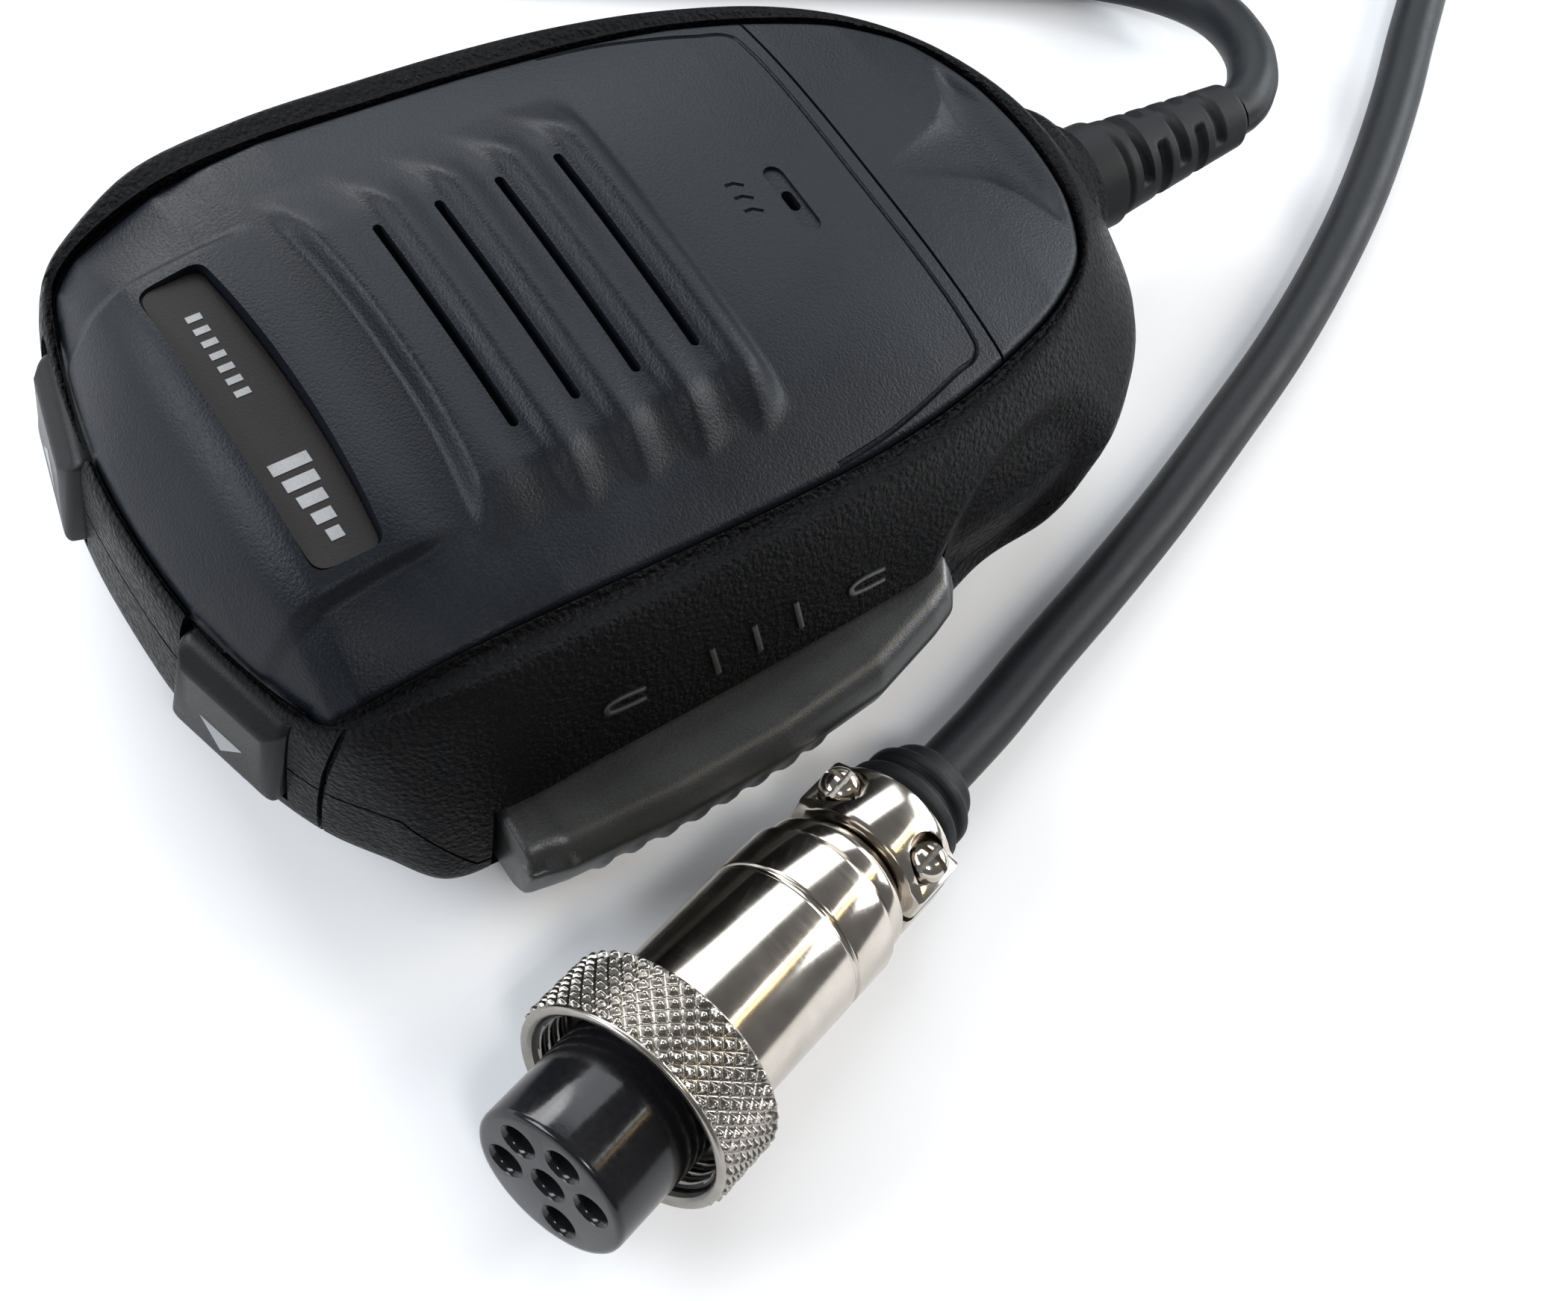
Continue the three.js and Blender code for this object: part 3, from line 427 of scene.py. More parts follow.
def corner_curve(before, corner, after, cut, samples, limit=0.48):
    """Short curve round a corner, of points or of whole loops, that starts the cut distance before it."""
    ends = []
    for other in (before, after):
        length = np.maximum(norm(other - corner, axis=-1, keepdims=True), 1e-6)
        ends.append(corner + (other - corner) * np.minimum(cut / length, limit))
    start, end = ends
    return [(1 - t) ** 2 * start + 2 * t * (1 - t) * corner + t * t * end for t in np.linspace(0, 1, samples)]


def rounded(points, cuts, samples=4):
    """Polyline of points, or stack of loops, with each inner one replaced by a curve of its own cut."""
    points = [np.asarray(p, float) for p in points]
    out = [points[0]]
    for before, corner, after, cut in zip(points, points[1:], points[2:], cuts[1:]):
        out += corner_curve(before, corner, after, cut, samples)
    return out + [points[-1]]


def smooth(value):
    value = np.clip(value, 0, 1)
    return value * value * (3 - 2 * value)


def hill(value):
    """Raised cosine: 1 at 0, 0 beyond 1 on either side."""
    return np.where(np.abs(value) < 1, 0.5 + 0.5 * np.cos(np.pi * np.clip(value, -1, 1)), 0)


def catmull(points, shares, closed=True):
    """Centripetal curve through points, at the given positions counted in points."""
    points = np.asarray(points, float)
    if closed:
        padded = np.vstack([points[-1:], points, points[:2]])
    else:
        padded = np.vstack([2 * points[0] - points[1], points, 2 * points[-1] - points[-2]])
    out = []
    for share in shares:
        i = min(int(share), len(padded) - 4)
        level = list(padded[i:i + 4])
        knots = [0.0]
        for p, q in zip(level, level[1:]):
            knots.append(knots[-1] + max(norm(q - p), 1e-6) ** 0.5)
        x = knots[1] + (knots[2] - knots[1]) * (share - i)
        for span in (1, 2):
            level = [p + (q - p) * (x - knots[k]) / (knots[k + span] - knots[k])
                     for k, (p, q) in enumerate(zip(level, level[1:]))]
        first, last = level
        out.append(first + (last - first) * (x - knots[1]) / (knots[2] - knots[1]))
    return np.array(out)


def through(points, samples, spare=0.0):
    """Open curve through points, which stops the spare share of a span before the last one."""
    return catmull(points, np.linspace(0, len(points) - 1 - spare, samples), closed=False)


# ---- outlines of the case
def mirrored(half):
    """Whole loop, counter-clockwise from above, from a right-hand half that starts at the button end."""
    half = [np.asarray(p, float) for p in half]
    left = [p * (-1, 1, 1) for p in half[1:-1]]
    return [half[0]] + left + [half[-1]] + half[1:-1][::-1]


SHARES = np.arange(2 * (len(STATIONS) - 1) * COLUMNS) / COLUMNS


def loop_of(half):
    return catmull(mirrored(half), SHARES)


def inward(loop):
    step = np.roll(loop, -1, axis=0) - np.roll(loop, 1, axis=0)
    normal = np.stack([-step[:, 1], step[:, 0], np.zeros(len(loop))], axis=1)
    return normal / norm(normal, axis=1, keepdims=True)


def inset(loop, distance):
    return loop + inward(loop) * distance


def at_height(loop, z):
    out = loop.copy()
    out[:, 2] = z
    return out


def raised(loop, rise):
    return loop + np.array([0, 0, rise])


RIM = loop_of([s[0:3] for s in STATIONS])
GIRTH = loop_of([(s[3], s[4], GIRTH_Z) for s in STATIONS])
BASE = loop_of([(s[5], s[6], BASE_Z) for s in STATIONS])
SEAM_LOOP = loop_of(SEAM)
SHOULDER = inset(GIRTH + (RIM - GIRTH) * 0.78, -0.35)


def subdivided(rows, spacing):
    out = [rows[0]]
    for before, after in zip(rows, rows[1:]):
        steps = max(1, ceil(norm(after - before, axis=1).max() / spacing))
        out += [before + (after - before) * k / steps for k in range(1, steps + 1)]
    return out


# ---- case
SCOOP = Sizes(y=-23.5, half_y=12, z=13.5, half_z=10, depth=1.9)
CORNER_GROOVE = [
    (22.3, 38.9, 23.6), (22.2, 39.3, 21), (21.9, 39.75, 17), (21.7, 39.9, 12), (21.6, 39.7, 8), (21.5, 39, 4),
]


def with_scoops(row):
    """Pulls a wall row in at the finger scoops on either side."""
    y = (row[:, 1] - SCOOP.y) / SCOOP.half_y
    z = (row[:, 2] - SCOOP.z) / SCOOP.half_z
    depth = SCOOP.depth * smooth(2.4 * (1 - np.sqrt(y * y + z * z))) * (np.abs(row[:, 0]) > 8)
    return row + inward(row) * depth[:, None]


def corner_groove(side):
    """Cutter for the fine groove down the wall from a corner of the panel."""
    outward, along = np.array([0.5, 0.866, 0]), np.array([0.866, -0.5, 0])
    section = [(-0.8, 0.12), (3, 0.9), (3, -0.6), (-0.8, -0.12)]
    rows = [[np.array(middle) + outward * a + along * b for a, b in section] for middle in CORNER_GROOVE]
    rows = np.array(rows[::-1])
    if side < 0:
        rows = rows[:, ::-1] * (-1, 1, 1)
    return skinned(rows)


def case_outer():
    lip = inset(SEAM_LOOP, -GAP)
    near, far = SEAM_LOOP + (RIM - SEAM_LOOP) * 0.3, SEAM_LOOP + (RIM - SEAM_LOOP) * 0.72
    rows = [
        at_height(inset(BASE, 2.4), BACK_Z), at_height(inset(BASE, 0.7), BACK_Z + 0.7), BASE, GIRTH,
        SHOULDER, raised(RIM, -0.1), raised(far, -0.1), raised(near, -0.5), raised(lip, 0.2),
        raised(lip, -0.6),
    ]
    rows = subdivided(rounded(rows, [0, 0.6, 2, 4, 1.6, 0.6, 0.5, 0.35, 0.25, 0], 5), 1.2)
    return skinned([with_scoops(row) for row in rows])


def case_cavity():
    floor = BACK_Z + WALL
    return skinned([
        at_height(inset(BASE, WALL + 0.8), floor), inset(GIRTH, WALL + 1), raised(inset(RIM, 3), -4.8),
        raised(inset(SEAM_LOOP, 1.5), -3.8), raised(inset(SEAM_LOOP, 1.5), 14),
    ])


def panel_pocket():
    return skinned([raised(inset(SEAM_LOOP, -GAP), -1.3), raised(inset(SEAM_LOOP, -GAP), 14)])


def below_parting(rise):
    """Everything under the split between the two case halves."""
    far = 80
    split = [(-far, PARTING.side), (PARTING.side_y, PARTING.side),
             (PARTING.end_y, PARTING.end), (far, PARTING.end)]
    outline = [(y, z + rise) for y, z in split] + [(far, -far), (-far, -far)]
    return skinned([[(x, y, z) for y, z in outline] for x in (far, -far)])


def key_place(side):
    turn = Matrix.Rotation(radians(-side * KEY.turn), 4, "Z")
    return Matrix.Translation(Vector((side * KEY.x, KEY.y, KEY.z))) @ turn


def key_window(side):
    w, h = KEY.half_width + GAP, KEY.half_height + GAP
    return transformed(box((-w, -6, -h), (w, 6, h + 1)), key_place(side))


def windows():
    bar = box((-45, -15.2, BAR.bottom - GAP), (-23.4, 29.8, BAR.top + GAP))
    return [bar, key_window(1), key_window(-1)]


def cable_boss():
    profile = [(3.4, -44), (9.5, -44), (9.2, -47.2), (6.6, -48.6), (6.2, -50.4), (3.4, -50.4)]
    return on_cable(lathed(profile, [0, 0.4, 1.6, 0.8, 0.5, 0.1, 0], 64))


def cable_hole():
    return on_cable(turned([(0.01, -60), (3.4, -60), (3.4, -40), (0.01, -40)], 48))


def make_case():
    front = piece("front_case_skin", case_outer(), "grained")
    combined(front, "UNION", cable_boss())
    rear = linked("rear_cover_skin", front.data.copy())
    openings = [*windows(), cable_hole()]
    grooves = [corner_groove(side) for side in (1, -1)]
    carved(front, case_cavity(), panel_pocket(), below_parting(GAP), *openings, *grooves)
    combined(rear, "INTERSECT", below_parting(0))
    wells = [upright(2.7, x, y, 0, BACK_Z + 1.3) for x, y in SCREWS]
    wells += [upright(1.5, x, y, 0, 9) for x, y in SCREWS]
    carved(rear, case_cavity(), *openings, upright(1.7, 0, 0, 0, 20), *wells, *grooves)
    dressed(shaded(front, 40), "grained_case", "front_case")
    dressed(shaded(rear, 40), "grained_case", "rear_cover")


SCREWS = [(24.4, 31.5), (-24.4, 31.5), (17.9, -37), (-17.9, -37)]


def dressed(obj, slot, *nodes, body="microphone"):
    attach(obj, body)
    if nodes:
        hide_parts(*nodes)
    return obj


# ---- front panel
SEAM_X, SEAM_Y, SEAM_Z = np.array(SEAM, float).T[:, ::-1]
HOLLOW = Sizes(
    y=(24.3, 27, 30, 33.2, 35.4, 37.3, 39.4, 42),  # distances towards the cable
    x=(0, 1.3, 2.3, 3.6, 5.6, 9.4, 14, 19),  # half width of the hollow there
    depth=0.95, full_x=8, seam=(0.5, 4), end=(0.6, 3.5),
)


def crown_height(y):
    knots = through(CROWN, 200, 0.001)
    return np.interp(y, knots[:, 0], knots[:, 1])


def base_height(x, y):
    half = np.maximum(np.interp(y, SEAM_Y, SEAM_X), 0.5)
    edge = np.interp(y, SEAM_Y, SEAM_Z)
    crown = crown_height(y)
    return crown - (crown - edge) * np.minimum(np.abs(x) / half, 1.15) ** 3


def ridges(x, y):
    """Louvre profile: a quick rise just behind each slot, then a long fall to the next one."""
    g = GRILLE
    sweep = g.sweep * smooth((x - g.sweep_x) / g.sweep_run) ** 1.5
    past = ((g.first - y + sweep) / g.pitch) % 1 * g.pitch
    rise = smooth((past - g.land) / g.rise_run)
    fall = smooth((g.pitch - g.land - past) / g.fall_run)
    front = y - sweep - g.first
    return np.where(front > 0, 0.6 * smooth((front - g.land) / 3.2), rise * fall)


def block_share(x, y):
    """1 on the raised grille block, 0 on the panel round it."""
    g = GRILLE
    out = np.abs(x) / g.side
    along = smooth((y - g.back[1]) / (g.back[0] - g.back[1]))
    front = g.front + g.front_run + g.flare * out ** 2.2
    along = along * smooth((front - y) / (g.front_run + 0.3 * g.flare * out ** 2))
    side = g.side + np.where(x < 0, g.flute, 0.15) * (ridges(x, y) - 0.5)
    return along * smooth((side - np.abs(x)) / np.where(x < 0, g.fall, g.fall + 1.6))


def hollow(x, y):
    """Depth of the bell-shaped hollow that opens towards the cable between two flat wings."""
    h = HOLLOW
    half = np.interp(-y, h.y, h.x)
    share = np.clip(np.abs(x) / np.maximum(half, 0.1), 0, 1)
    from_seam = smooth((np.interp(y, SEAM_Y, SEAM_X) - np.abs(x) - h.seam[0]) / h.seam[1])
    from_end = smooth((y - SEAM_Y[0] - h.end[0]) / h.end[1])
    return h.depth * (1 - share ** 3) * smooth(half / h.full_x) * from_seam * from_end


def panel_height(x, y):
    g, plate = GRILLE, LABEL
    droop = g.droop * np.abs(x) ** 2
    fade = 1 - np.where(x < 0, 0.6, 0.5) * smooth((np.abs(x) - g.fade_x) / g.fade_run)
    top = g.top + g.ridge * fade * (ridges(x, y) - 0.35) - droop
    end = smooth((y - plate.rise_y) / plate.rise_run)
    label = plate.step * end * smooth((plate.half + plate.margin - np.abs(x)) / plate.edge)
    base = base_height(x, y) - plate.dip * end + label
    return base + (np.maximum(top, base) - base) * block_share(x, y) - hollow(x, y)


def seam_distance(x, y):
    """Distance inwards from the seam, for rounding the panel's edge."""
    loop = SEAM_LOOP[::2, :2]
    points = np.stack([x.ravel(), y.ravel()], axis=1)
    out = np.full(len(points), 1e9)
    for a, b in zip(loop, np.roll(loop, -1, axis=0)):
        along = b - a
        t = np.clip(((points - a) @ along) / max(along @ along, 1e-9), 0, 1)
        out = np.minimum(out, np.hypot(*(points - a - t[:, None] * along).T))
    return out.reshape(x.shape)


EDGE_RADIUS = 0.6
EDGE_LOOPS = (0.03, 0.09, 0.18, 0.3, 0.45, 0.6, 0.85)  # insets at which the rounded edge is sampled
SPACING = 0.3


def panel_block():
    """Solid under the panel's surface: a triangulated plan whose edge runs exactly along the seam."""
    edge = SEAM_LOOP[:, :2]
    plan = [edge] + [inset(SEAM_LOOP, distance)[:, :2] for distance in EDGE_LOOPS]
    x, y = np.meshgrid(np.arange(-24, 24.01, SPACING), np.arange(-43, 44.6, SPACING))
    within = seam_distance(x, y) > EDGE_LOOPS[-1] + 0.2
    within &= inside_outline(x, y, edge)
    plan.append(np.stack([x[within], y[within]], axis=1))
    plan = np.vstack(plan)
    count = len(edge)
    border = [(i, (i + 1) % count) for i in range(count)]
    flat, _, triangles, *_ = delaunay_2d_cdt([Vector(p) for p in plan.tolist()], border, [], 1, 1e-4)
    flat = np.array([tuple(p) for p in flat])
    triangles = np.array(triangles)
    a, b, c = (flat[triangles[:, k]] for k in range(3))
    turned_over = np.cross(b - a, c - a) < 0
    triangles[turned_over] = triangles[turned_over][:, ::-1]
    x, y = flat[:, 0], flat[:, 1]
    inside = seam_distance(x, y)
    near = np.maximum(EDGE_RADIUS - inside, 0)
    top = panel_height(x, y) - EDGE_RADIUS + np.sqrt(EDGE_RADIUS ** 2 - near ** 2)
    bottom = top - np.where(inside < 1.9, 1.0, 2.2)
    sides = np.vstack([triangles[:, [0, 1]], triangles[:, [1, 2]], triangles[:, [2, 0]]])
    known = {tuple(side) for side in sides.tolist()}
    total = len(flat)
    wall = [(b, a, a + total, b + total) for a, b in known if (b, a) not in known]
    points = np.vstack([np.column_stack([flat, top]), np.column_stack([flat, bottom])])
    return points, triangles.tolist() + (triangles[:, ::-1] + total).tolist() + wall


def inside_outline(x, y, outline):
    """True where (x, y) lies inside a closed outline."""
    inside = np.zeros(x.shape, bool)
    for (x0, y0), (x1, y1) in zip(outline, np.roll(outline, -1, axis=0)):
        crosses = (y0 > y) != (y1 > y)
        if y0 != y1:
            inside ^= crosses & (x < (x1 - x0) * (y - y0) / (y1 - y0) + x0)
    return inside


def oblong(half_length, half_width, y, bottom, top, samples=10):
    """Prism with round ends, long in X."""
    angles = np.linspace(-pi / 2, pi / 2, samples)
    straight = half_length - half_width
    right = np.column_stack([straight + half_width * np.cos(angles), y + half_width * np.sin(angles)])
    left = np.column_stack([-straight - half_width * np.cos(angles), y - half_width * np.sin(angles)])
    return prism(np.vstack([right, left]), bottom, top)


def label_outline(shrink):
    """Bowed rounded oblong of the label, anticlockwise from above."""
    half, outer, inner = LABEL.half - shrink, LABEL.outer - shrink, LABEL.inner + shrink
    loop = [(x, inner - LABEL.bow * (1 - (x / half) ** 2)) for x in np.linspace(-half, half, 25)]
    loop = [np.array(p) for p in loop + [(half - 0.3, outer), (-half + 0.3, outer)]]
    out = []
    for before, corner, after in zip(loop[-1:] + loop[:-1], loop, loop[1:] + loop[:1]):
        sharp = abs(corner[0]) > half - 0.4
        out += corner_curve(before, corner, after, LABEL.corner, 7, 0.9) if sharp else [corner]
    return np.array(out)


def surface_groove(path, half_width, depth):
    """Cutter that follows the panel's surface along a path of (x, y) points."""
    path = np.asarray(path, float)
    ahead = np.gradient(path, axis=0)
    normal = np.stack([-ahead[:, 1], ahead[:, 0]], axis=1)
    normal /= norm(normal, axis=1, keepdims=True)
    floor = panel_height(path[:, 0], path[:, 1]) - depth
    rows = []
    for point, across, z in zip(path, normal, floor):
        left, right = point + across * half_width, point - across * half_width
        low, high = z + depth * 0.6, z + 3
        rows.append([(*right, low), (*point, z), (*left, low), (*left, high), (*right, high)])
    return skinned(rows)


def frame_groove():
    """Path of the fine groove round the lower part of the grille half."""
    right = [(21.9, -4), (21.2, -9.5), (20, -14.5), (18.9, -18.2), (18.4, -20.2), (17.7, -21.05)]
    right += [(16.4, -21.3)]
    left = [(-x, y) for x, y in right[::-1]]
    return through(right + [(0, -21.3)] + left, 160)


def make_panel():
    panel = piece("front_panel_skin", panel_block(), "panel")
    lower = linked("lower_panel_skin", panel.data.copy())
    g, v = GRILLE, VOICE
    slots = [oblong(g.half_length, g.width / 2, g.first - i * g.pitch, 20, 45)
             for i in range(g.slots)]
    voice_z = panel_height(np.array(0.0), np.array(-14.0))
    cuts = [
        prism(label_outline(0), LABEL.floor, 45),
        oblong(v.half_length, v.half_width, v.y, voice_z - v.depth, 45),
        oblong(*v.hole, v.y, 20, 45), box((-60, -80, 0), (60, SPLIT_Y + GAP / 2, 60)),
        surface_groove(frame_groove(), 0.24, 0.4),
        *(surface_groove([(x, -9.7), (x, -10.5), (x - 0.5, -11.3)], 0.16, 0.3) for x in (3, 1.6, 0.2)),
    ]
    carved(panel, *slots, *cuts)
    carved(lower, box((-60, SPLIT_Y - GAP / 2, 0), (60, 80, 60)))
    dressed(shaded(panel, 40), "panel", "front_panel")
    dressed(shaded(lower, 40), "panel", "lower_panel")
    plate = prism(label_outline(0.18), LABEL.floor + 0.02, LABEL.floor + 0.28)
    dressed(piece("label_skin", plate, "label"), "label", "label_plate")


# ---- generic raised marks
WALL_BULGE = Sizes(share=0.78, out=0.35)  # how far up the wall the shoulder lies, and its proudness
LOOP_MARK = [(-1.7, 0.5), (0.7, 0.75), (1.6, 0.5), (1.6, -0.15), (0.6, -0.45), (-1.8, -0.65)]
LOOP_PLACES = [(18.4, 20), (-4.8, 18.4)]
RIB_MARK = [(0.4, 20.9), (0, 19.3), (-0.4, 17.7)]
RIB_PLACES = [10.2, 6.2, 2.2]


def wall_point(y, z):
    """Point on the wall above the talk bar."""
    left = RIM[:, 0] < -15
    rim = RIM[left][np.argsort(RIM[left, 1])]
    girth = GIRTH[left][np.argsort(GIRTH[left, 1])]
    low = np.interp(y, girth[:, 1], girth[:, 0])
    high, top = (np.interp(y, rim[:, 1], rim[:, k]) for k in (0, 2))
    share = (z - GIRTH_Z) / (top - GIRTH_Z)
    bulge = WALL_BULGE.out * min(share / WALL_BULGE.share, (1 - share) / (1 - WALL_BULGE.share))
    return np.array([low + (high - low) * share - bulge, y, z])


def raised_line(name, path, half_width=0.24, height=0.26):
    """Thin rounded rib along (y, z) points of the wall."""
    path = through(path, 6 * len(path), 0.001)
    points = np.array([wall_point(y, z) for y, z in path])
    ahead = np.gradient(points, axis=0)
    ahead /= norm(ahead, axis=1, keepdims=True)
    outward = np.array([-0.97, 0.05, 0.24])
    section = [(-0.4, 1), (0.6 * height, 1), (height, 0), (0.6 * height, -1), (-0.4, -1)]
    rows = [[point + outward * out + np.cross(outward, along) * half_width * side for out, side in section]
            for point, along in zip(points, ahead)]
    return dressed(piece(name, skinned(rows), "bar", 50), "grained_case")


def make_wall_marks():
    """Two open loops with three plain slanted ribs between them."""
    for i, (y, z) in enumerate(LOOP_PLACES):
        raised_line(f"end_mark_{i + 1}", [(y + a, z + b) for a, b in LOOP_MARK])
    for i, y in enumerate(RIB_PLACES):
        raised_line(f"bar_mark_{i + 1}", [(y + a, z) for a, z in RIB_MARK])


def make_label_marks():
    """Plain upright bars in place of the label's lettering."""
    bars = [(-10.8, 0.5, 1.1), (-9.2, 0.5, 1.6), (-7.6, 0.5, 2.1), (-6, 0.5, 2.6), (-4.4, 0.5, 3.1)]
    bars += [(x, 0.28, 1.2) for x in (2.4, 3.6, 4.8, 6, 7.2, 8.4, 9.6)]
    for i, (x, half, height) in enumerate(bars):
        foot, head = 33.1 - height / 2, 33.1 + height / 2
        outline = [(x - half, foot), (x + half, foot), (x + half, head), (x - half, head)]
        bar = prism(outline, LABEL.floor + 0.2, LABEL.floor + 0.33)
        dressed(piece(f"label_mark_{i + 1}", bar, "print", 30), "label")


# ---- buttons and talk bar
def rounded_rectangle(half_x, half_z, radius, y, samples=6):
    out = []
    for sx, sz, start in ((1, 1, 0), (-1, 1, 90), (-1, -1, 180), (1, -1, 270)):
        for degrees in np.linspace(start, start + 90, samples):
            a = radians(degrees)
            x = sx * (half_x - radius) + radius * cos(a)
            z = sz * (half_z - radius) + radius * sin(a)
            out.append((x, y, z))
    return np.array(out)


def key_cap():
    """Cap with a rounded front edge, sloped back along its top."""
    w, h, proud, edge, slope_run = KEY.half_width, KEY.half_height, KEY.proud, 0.6, 1.9
    rows = [rounded_rectangle(w, h, 0.5, -3.4)]
    for a in np.linspace(0, pi / 2, 7):
        trim = edge * (1 - cos(a))
        rows.append(rounded_rectangle(w - trim, h - trim, 0.7, proud - edge + edge * sin(a)))
    rows += [rows[7] * (share, 1, share) for share in (0.93, 0.86, 0.79, 0.72, 0.65, 0.5, 0.3, 0.1)]
    top = np.array(rows)
    slope = np.clip((top[..., 2] - h + slope_run) / slope_run, 0, 1)
    top[..., 1] -= 1.5 * slope * (top[..., 1] > -1.2)
    return skinned(top[:, ::-1])


def make_buttons():
    for name, side in (("up", 1), ("down", -1)):
        body, place = f"{name}_button", scaled(key_place(side))
        cap = piece(f"{name}_button_skin", key_cap(), "button", 50, place)
        dressed(cap, "button", f"{name}_button", body=body)
        middle, tip = -1.9, 1.9 * side
        rows = [[(-2.2, y, middle - tip * 0.5), (2.2, y, middle - tip * 0.5), (0, y, middle + tip)][::side]
                for y in (KEY.proud + 0.03, KEY.proud - 0.2)]
        dressed(piece(f"{name}_mark", skinned(rows), "print", 30, place), "button", body=body)


def scaled(matrix):
    """The same placement with its translation in metres."""
    out = matrix.copy()
    out.translation = matrix.translation * MM
    return out


# Outer edge of the talk bar: y, x.
BAR_OUTLINE = [
    (-14.6, -29.9), (-13.4, -31.4), (-11, -32.4), (-4, -34.6), (6, -35.7), (16, -35.9), (25.4, -35.4),
    (28.2, -35.0),
]
BAR_RIBS = Sizes(count=8, first=22.6, pitch=2.9, half=0.95)


def bar_section(y):
    """Section of the talk bar across Y: a sloping top, a rounded outer edge and a ribbed lower face."""
    outer = np.interp(y, *zip(*BAR_OUTLINE))
    r = BAR_RIBS
    rib = max(float(hill((y - (r.first - r.pitch * k)) / r.half)) for k in range(r.count))
    end = float(smooth((y - 25.5) / 3.5))
    inner, top, bottom = -26.3, BAR.top, BAR.bottom
    corner = top - 1.0 - 0.9 * end
    points = [
        (inner, bottom), (inner, top - 0.2), (outer + 1.6, corner + 0.45),
        (outer + 0.1 + 1.2 * end, corner - 1.3), (outer + 0.6 * end, 11.2),
        (outer + 0.25 - 0.3 * rib + 0.5 * end, 9.4), (outer + 0.9 - 0.35 * rib, bottom + 1.0),
        (outer + 2.4, bottom), (inner, bottom),
    ]
    line = rounded(points, [0, 0.5, 1.0, 1.1, 0.6, 0.6, 0.8, 0.4], 5)[:-1]
    return np.array([(p[0], y, p[1]) for p in line])


def make_talk_bar():
    rows = [bar_section(y) for y in np.arange(-14.4, 28.0, 0.3)]
    last = rows[-1]
    middle = last.mean(0)
    for share, out in ((0.97, 0.5), (0.9, 0.95), (0.8, 1.15)):
        row = middle + (last - middle) * share
        row[:, 1] = last[:, 1] + out
        rows.append(row)
    first = rows[0]
    rows.insert(0, first.mean(0) + (first - first.mean(0)) * 0.85 + (0, -0.25, 0))
    bar = piece("talk_bar_skin", skinned(rows), "bar", 45)
    combined(bar, "UNION", box((-27, -8.5, 7.4), (-25.7, 27.4, 15.3)), upright(2.4, -25.2, -12.3, 7.4, 14))
    carved(bar, upright(1.5, -25.2, -12.3, 0, 20))
    dressed(shaded(bar, 45), "button", "talk_bar", body="talk_bar")


# ---- cable
BOOT = Sizes(
    root=-50.9, length=19.7, radius=5.1, taper=1.9, collar=0.16, neck=-54.6,
    slots=5, first=-57, pitch=2.5, slot_half=0.75,
)


def make_boot():
    """Tapered rubber boot with staggered flex slots."""
    b = BOOT
    angles = full_turn(120)
    rows = []
    for y in np.linspace(b.root, -70.6, 130):
        t = (b.root - y) / b.length
        radius = b.radius - (0.15 * t if t < b.collar else b.taper * t ** 0.9)
        radius -= 0.35 * exp(-((y - b.neck) / 0.35) ** 2)
        cut = np.zeros_like(angles)
        for k in range(b.slots):
            across = hill((y - (b.first - b.pitch * k)) / b.slot_half) ** 0.5
            turn = angles - (pi / 2 if k % 2 else 0)
            cut = cut + across * smooth((np.abs(np.cos(turn)) - 0.34) * 6)
        rows.append(circle(radius - cut * (0.5 + 0.5 * (1 - t)), y, angles))
    bore = CORD_RADIUS + GAP
    inside = [(2.95, -70.95), (bore, -71), (bore, -44.3), (4, -44.3), (4, -45.4), (3.1, -45.4), (3.1, -50.8)]
    rows += [circle(radius, y, angles) for radius, y in inside + [(4.9, -50.8)]]
    boot = piece("boot_skin", on_cable(skinned(rows, closed=True)), "rubber", 40)
    return dressed(boot, "rubber", "strain_relief")


MIC_TAIL = [
    (0, -71.3, 11), (0.4, -73.6, 10.9), (2.2, -76.6, 10.5), (5.5, -79.6, 9.6), (9.4, -81.7, 8.2),
    (13.2, -82.7, 6.8), (17.2, -82.4, 5.3), (21.2, -80.4, 4.1), (25, -77, 3.2), (28.8, -71.6, 2.7),
    (32.4, -64.5, 2.55), (38, -53, 2.55), (45, -38.5, 2.55), (50, -28.7, 2.55), (54.4, -22.5, 2.55),
    (58.8, -19.6, 2.55), (63.2, -19.1, 2.55), (68.3, -20.5, 2.5),
]
PLUG_TAIL = [
    (41.5, -109.4, 2.5), (46.1, -111.8, 2.55), (50.3, -116.4, 2.55), (51.6, -123.4, 2.55), (49.1, -130, 2.55),
    (43, -134.3, 2.55), (35.3, -134.7, 2.55), (27.6, -131.2, 2.55), (20.3, -125.4, 2.55), (14, -118.5, 2.55),
    (8.9, -112.2, 2.55), (3.7, -105.2, 2.55), (-2.2, -97.4, 2.55), (-9.5, -86.5, 2.55), (-15.5, -75.8, 2.55),
    (-20.7, -65, 2.65), (-25.4, -53.4, 2.8), (-29.8, -42, 3.1), (-33.5, -31.2, 3.6), (-36.55, -21.65, 4.2),
    (-39.2, -13.9, 4.68), (-40.43, -9.71, 5.13), (-41.78, -4.94, 5.72), (-43.26, 0.32, 6.38),
    (-45.29, 7.48, 7.27),
]
CURL = Sizes(turns=18, pitch=5.1, radius=10, start=(73.2, -23.2, 12.5), travel=(-0.401, -0.916))


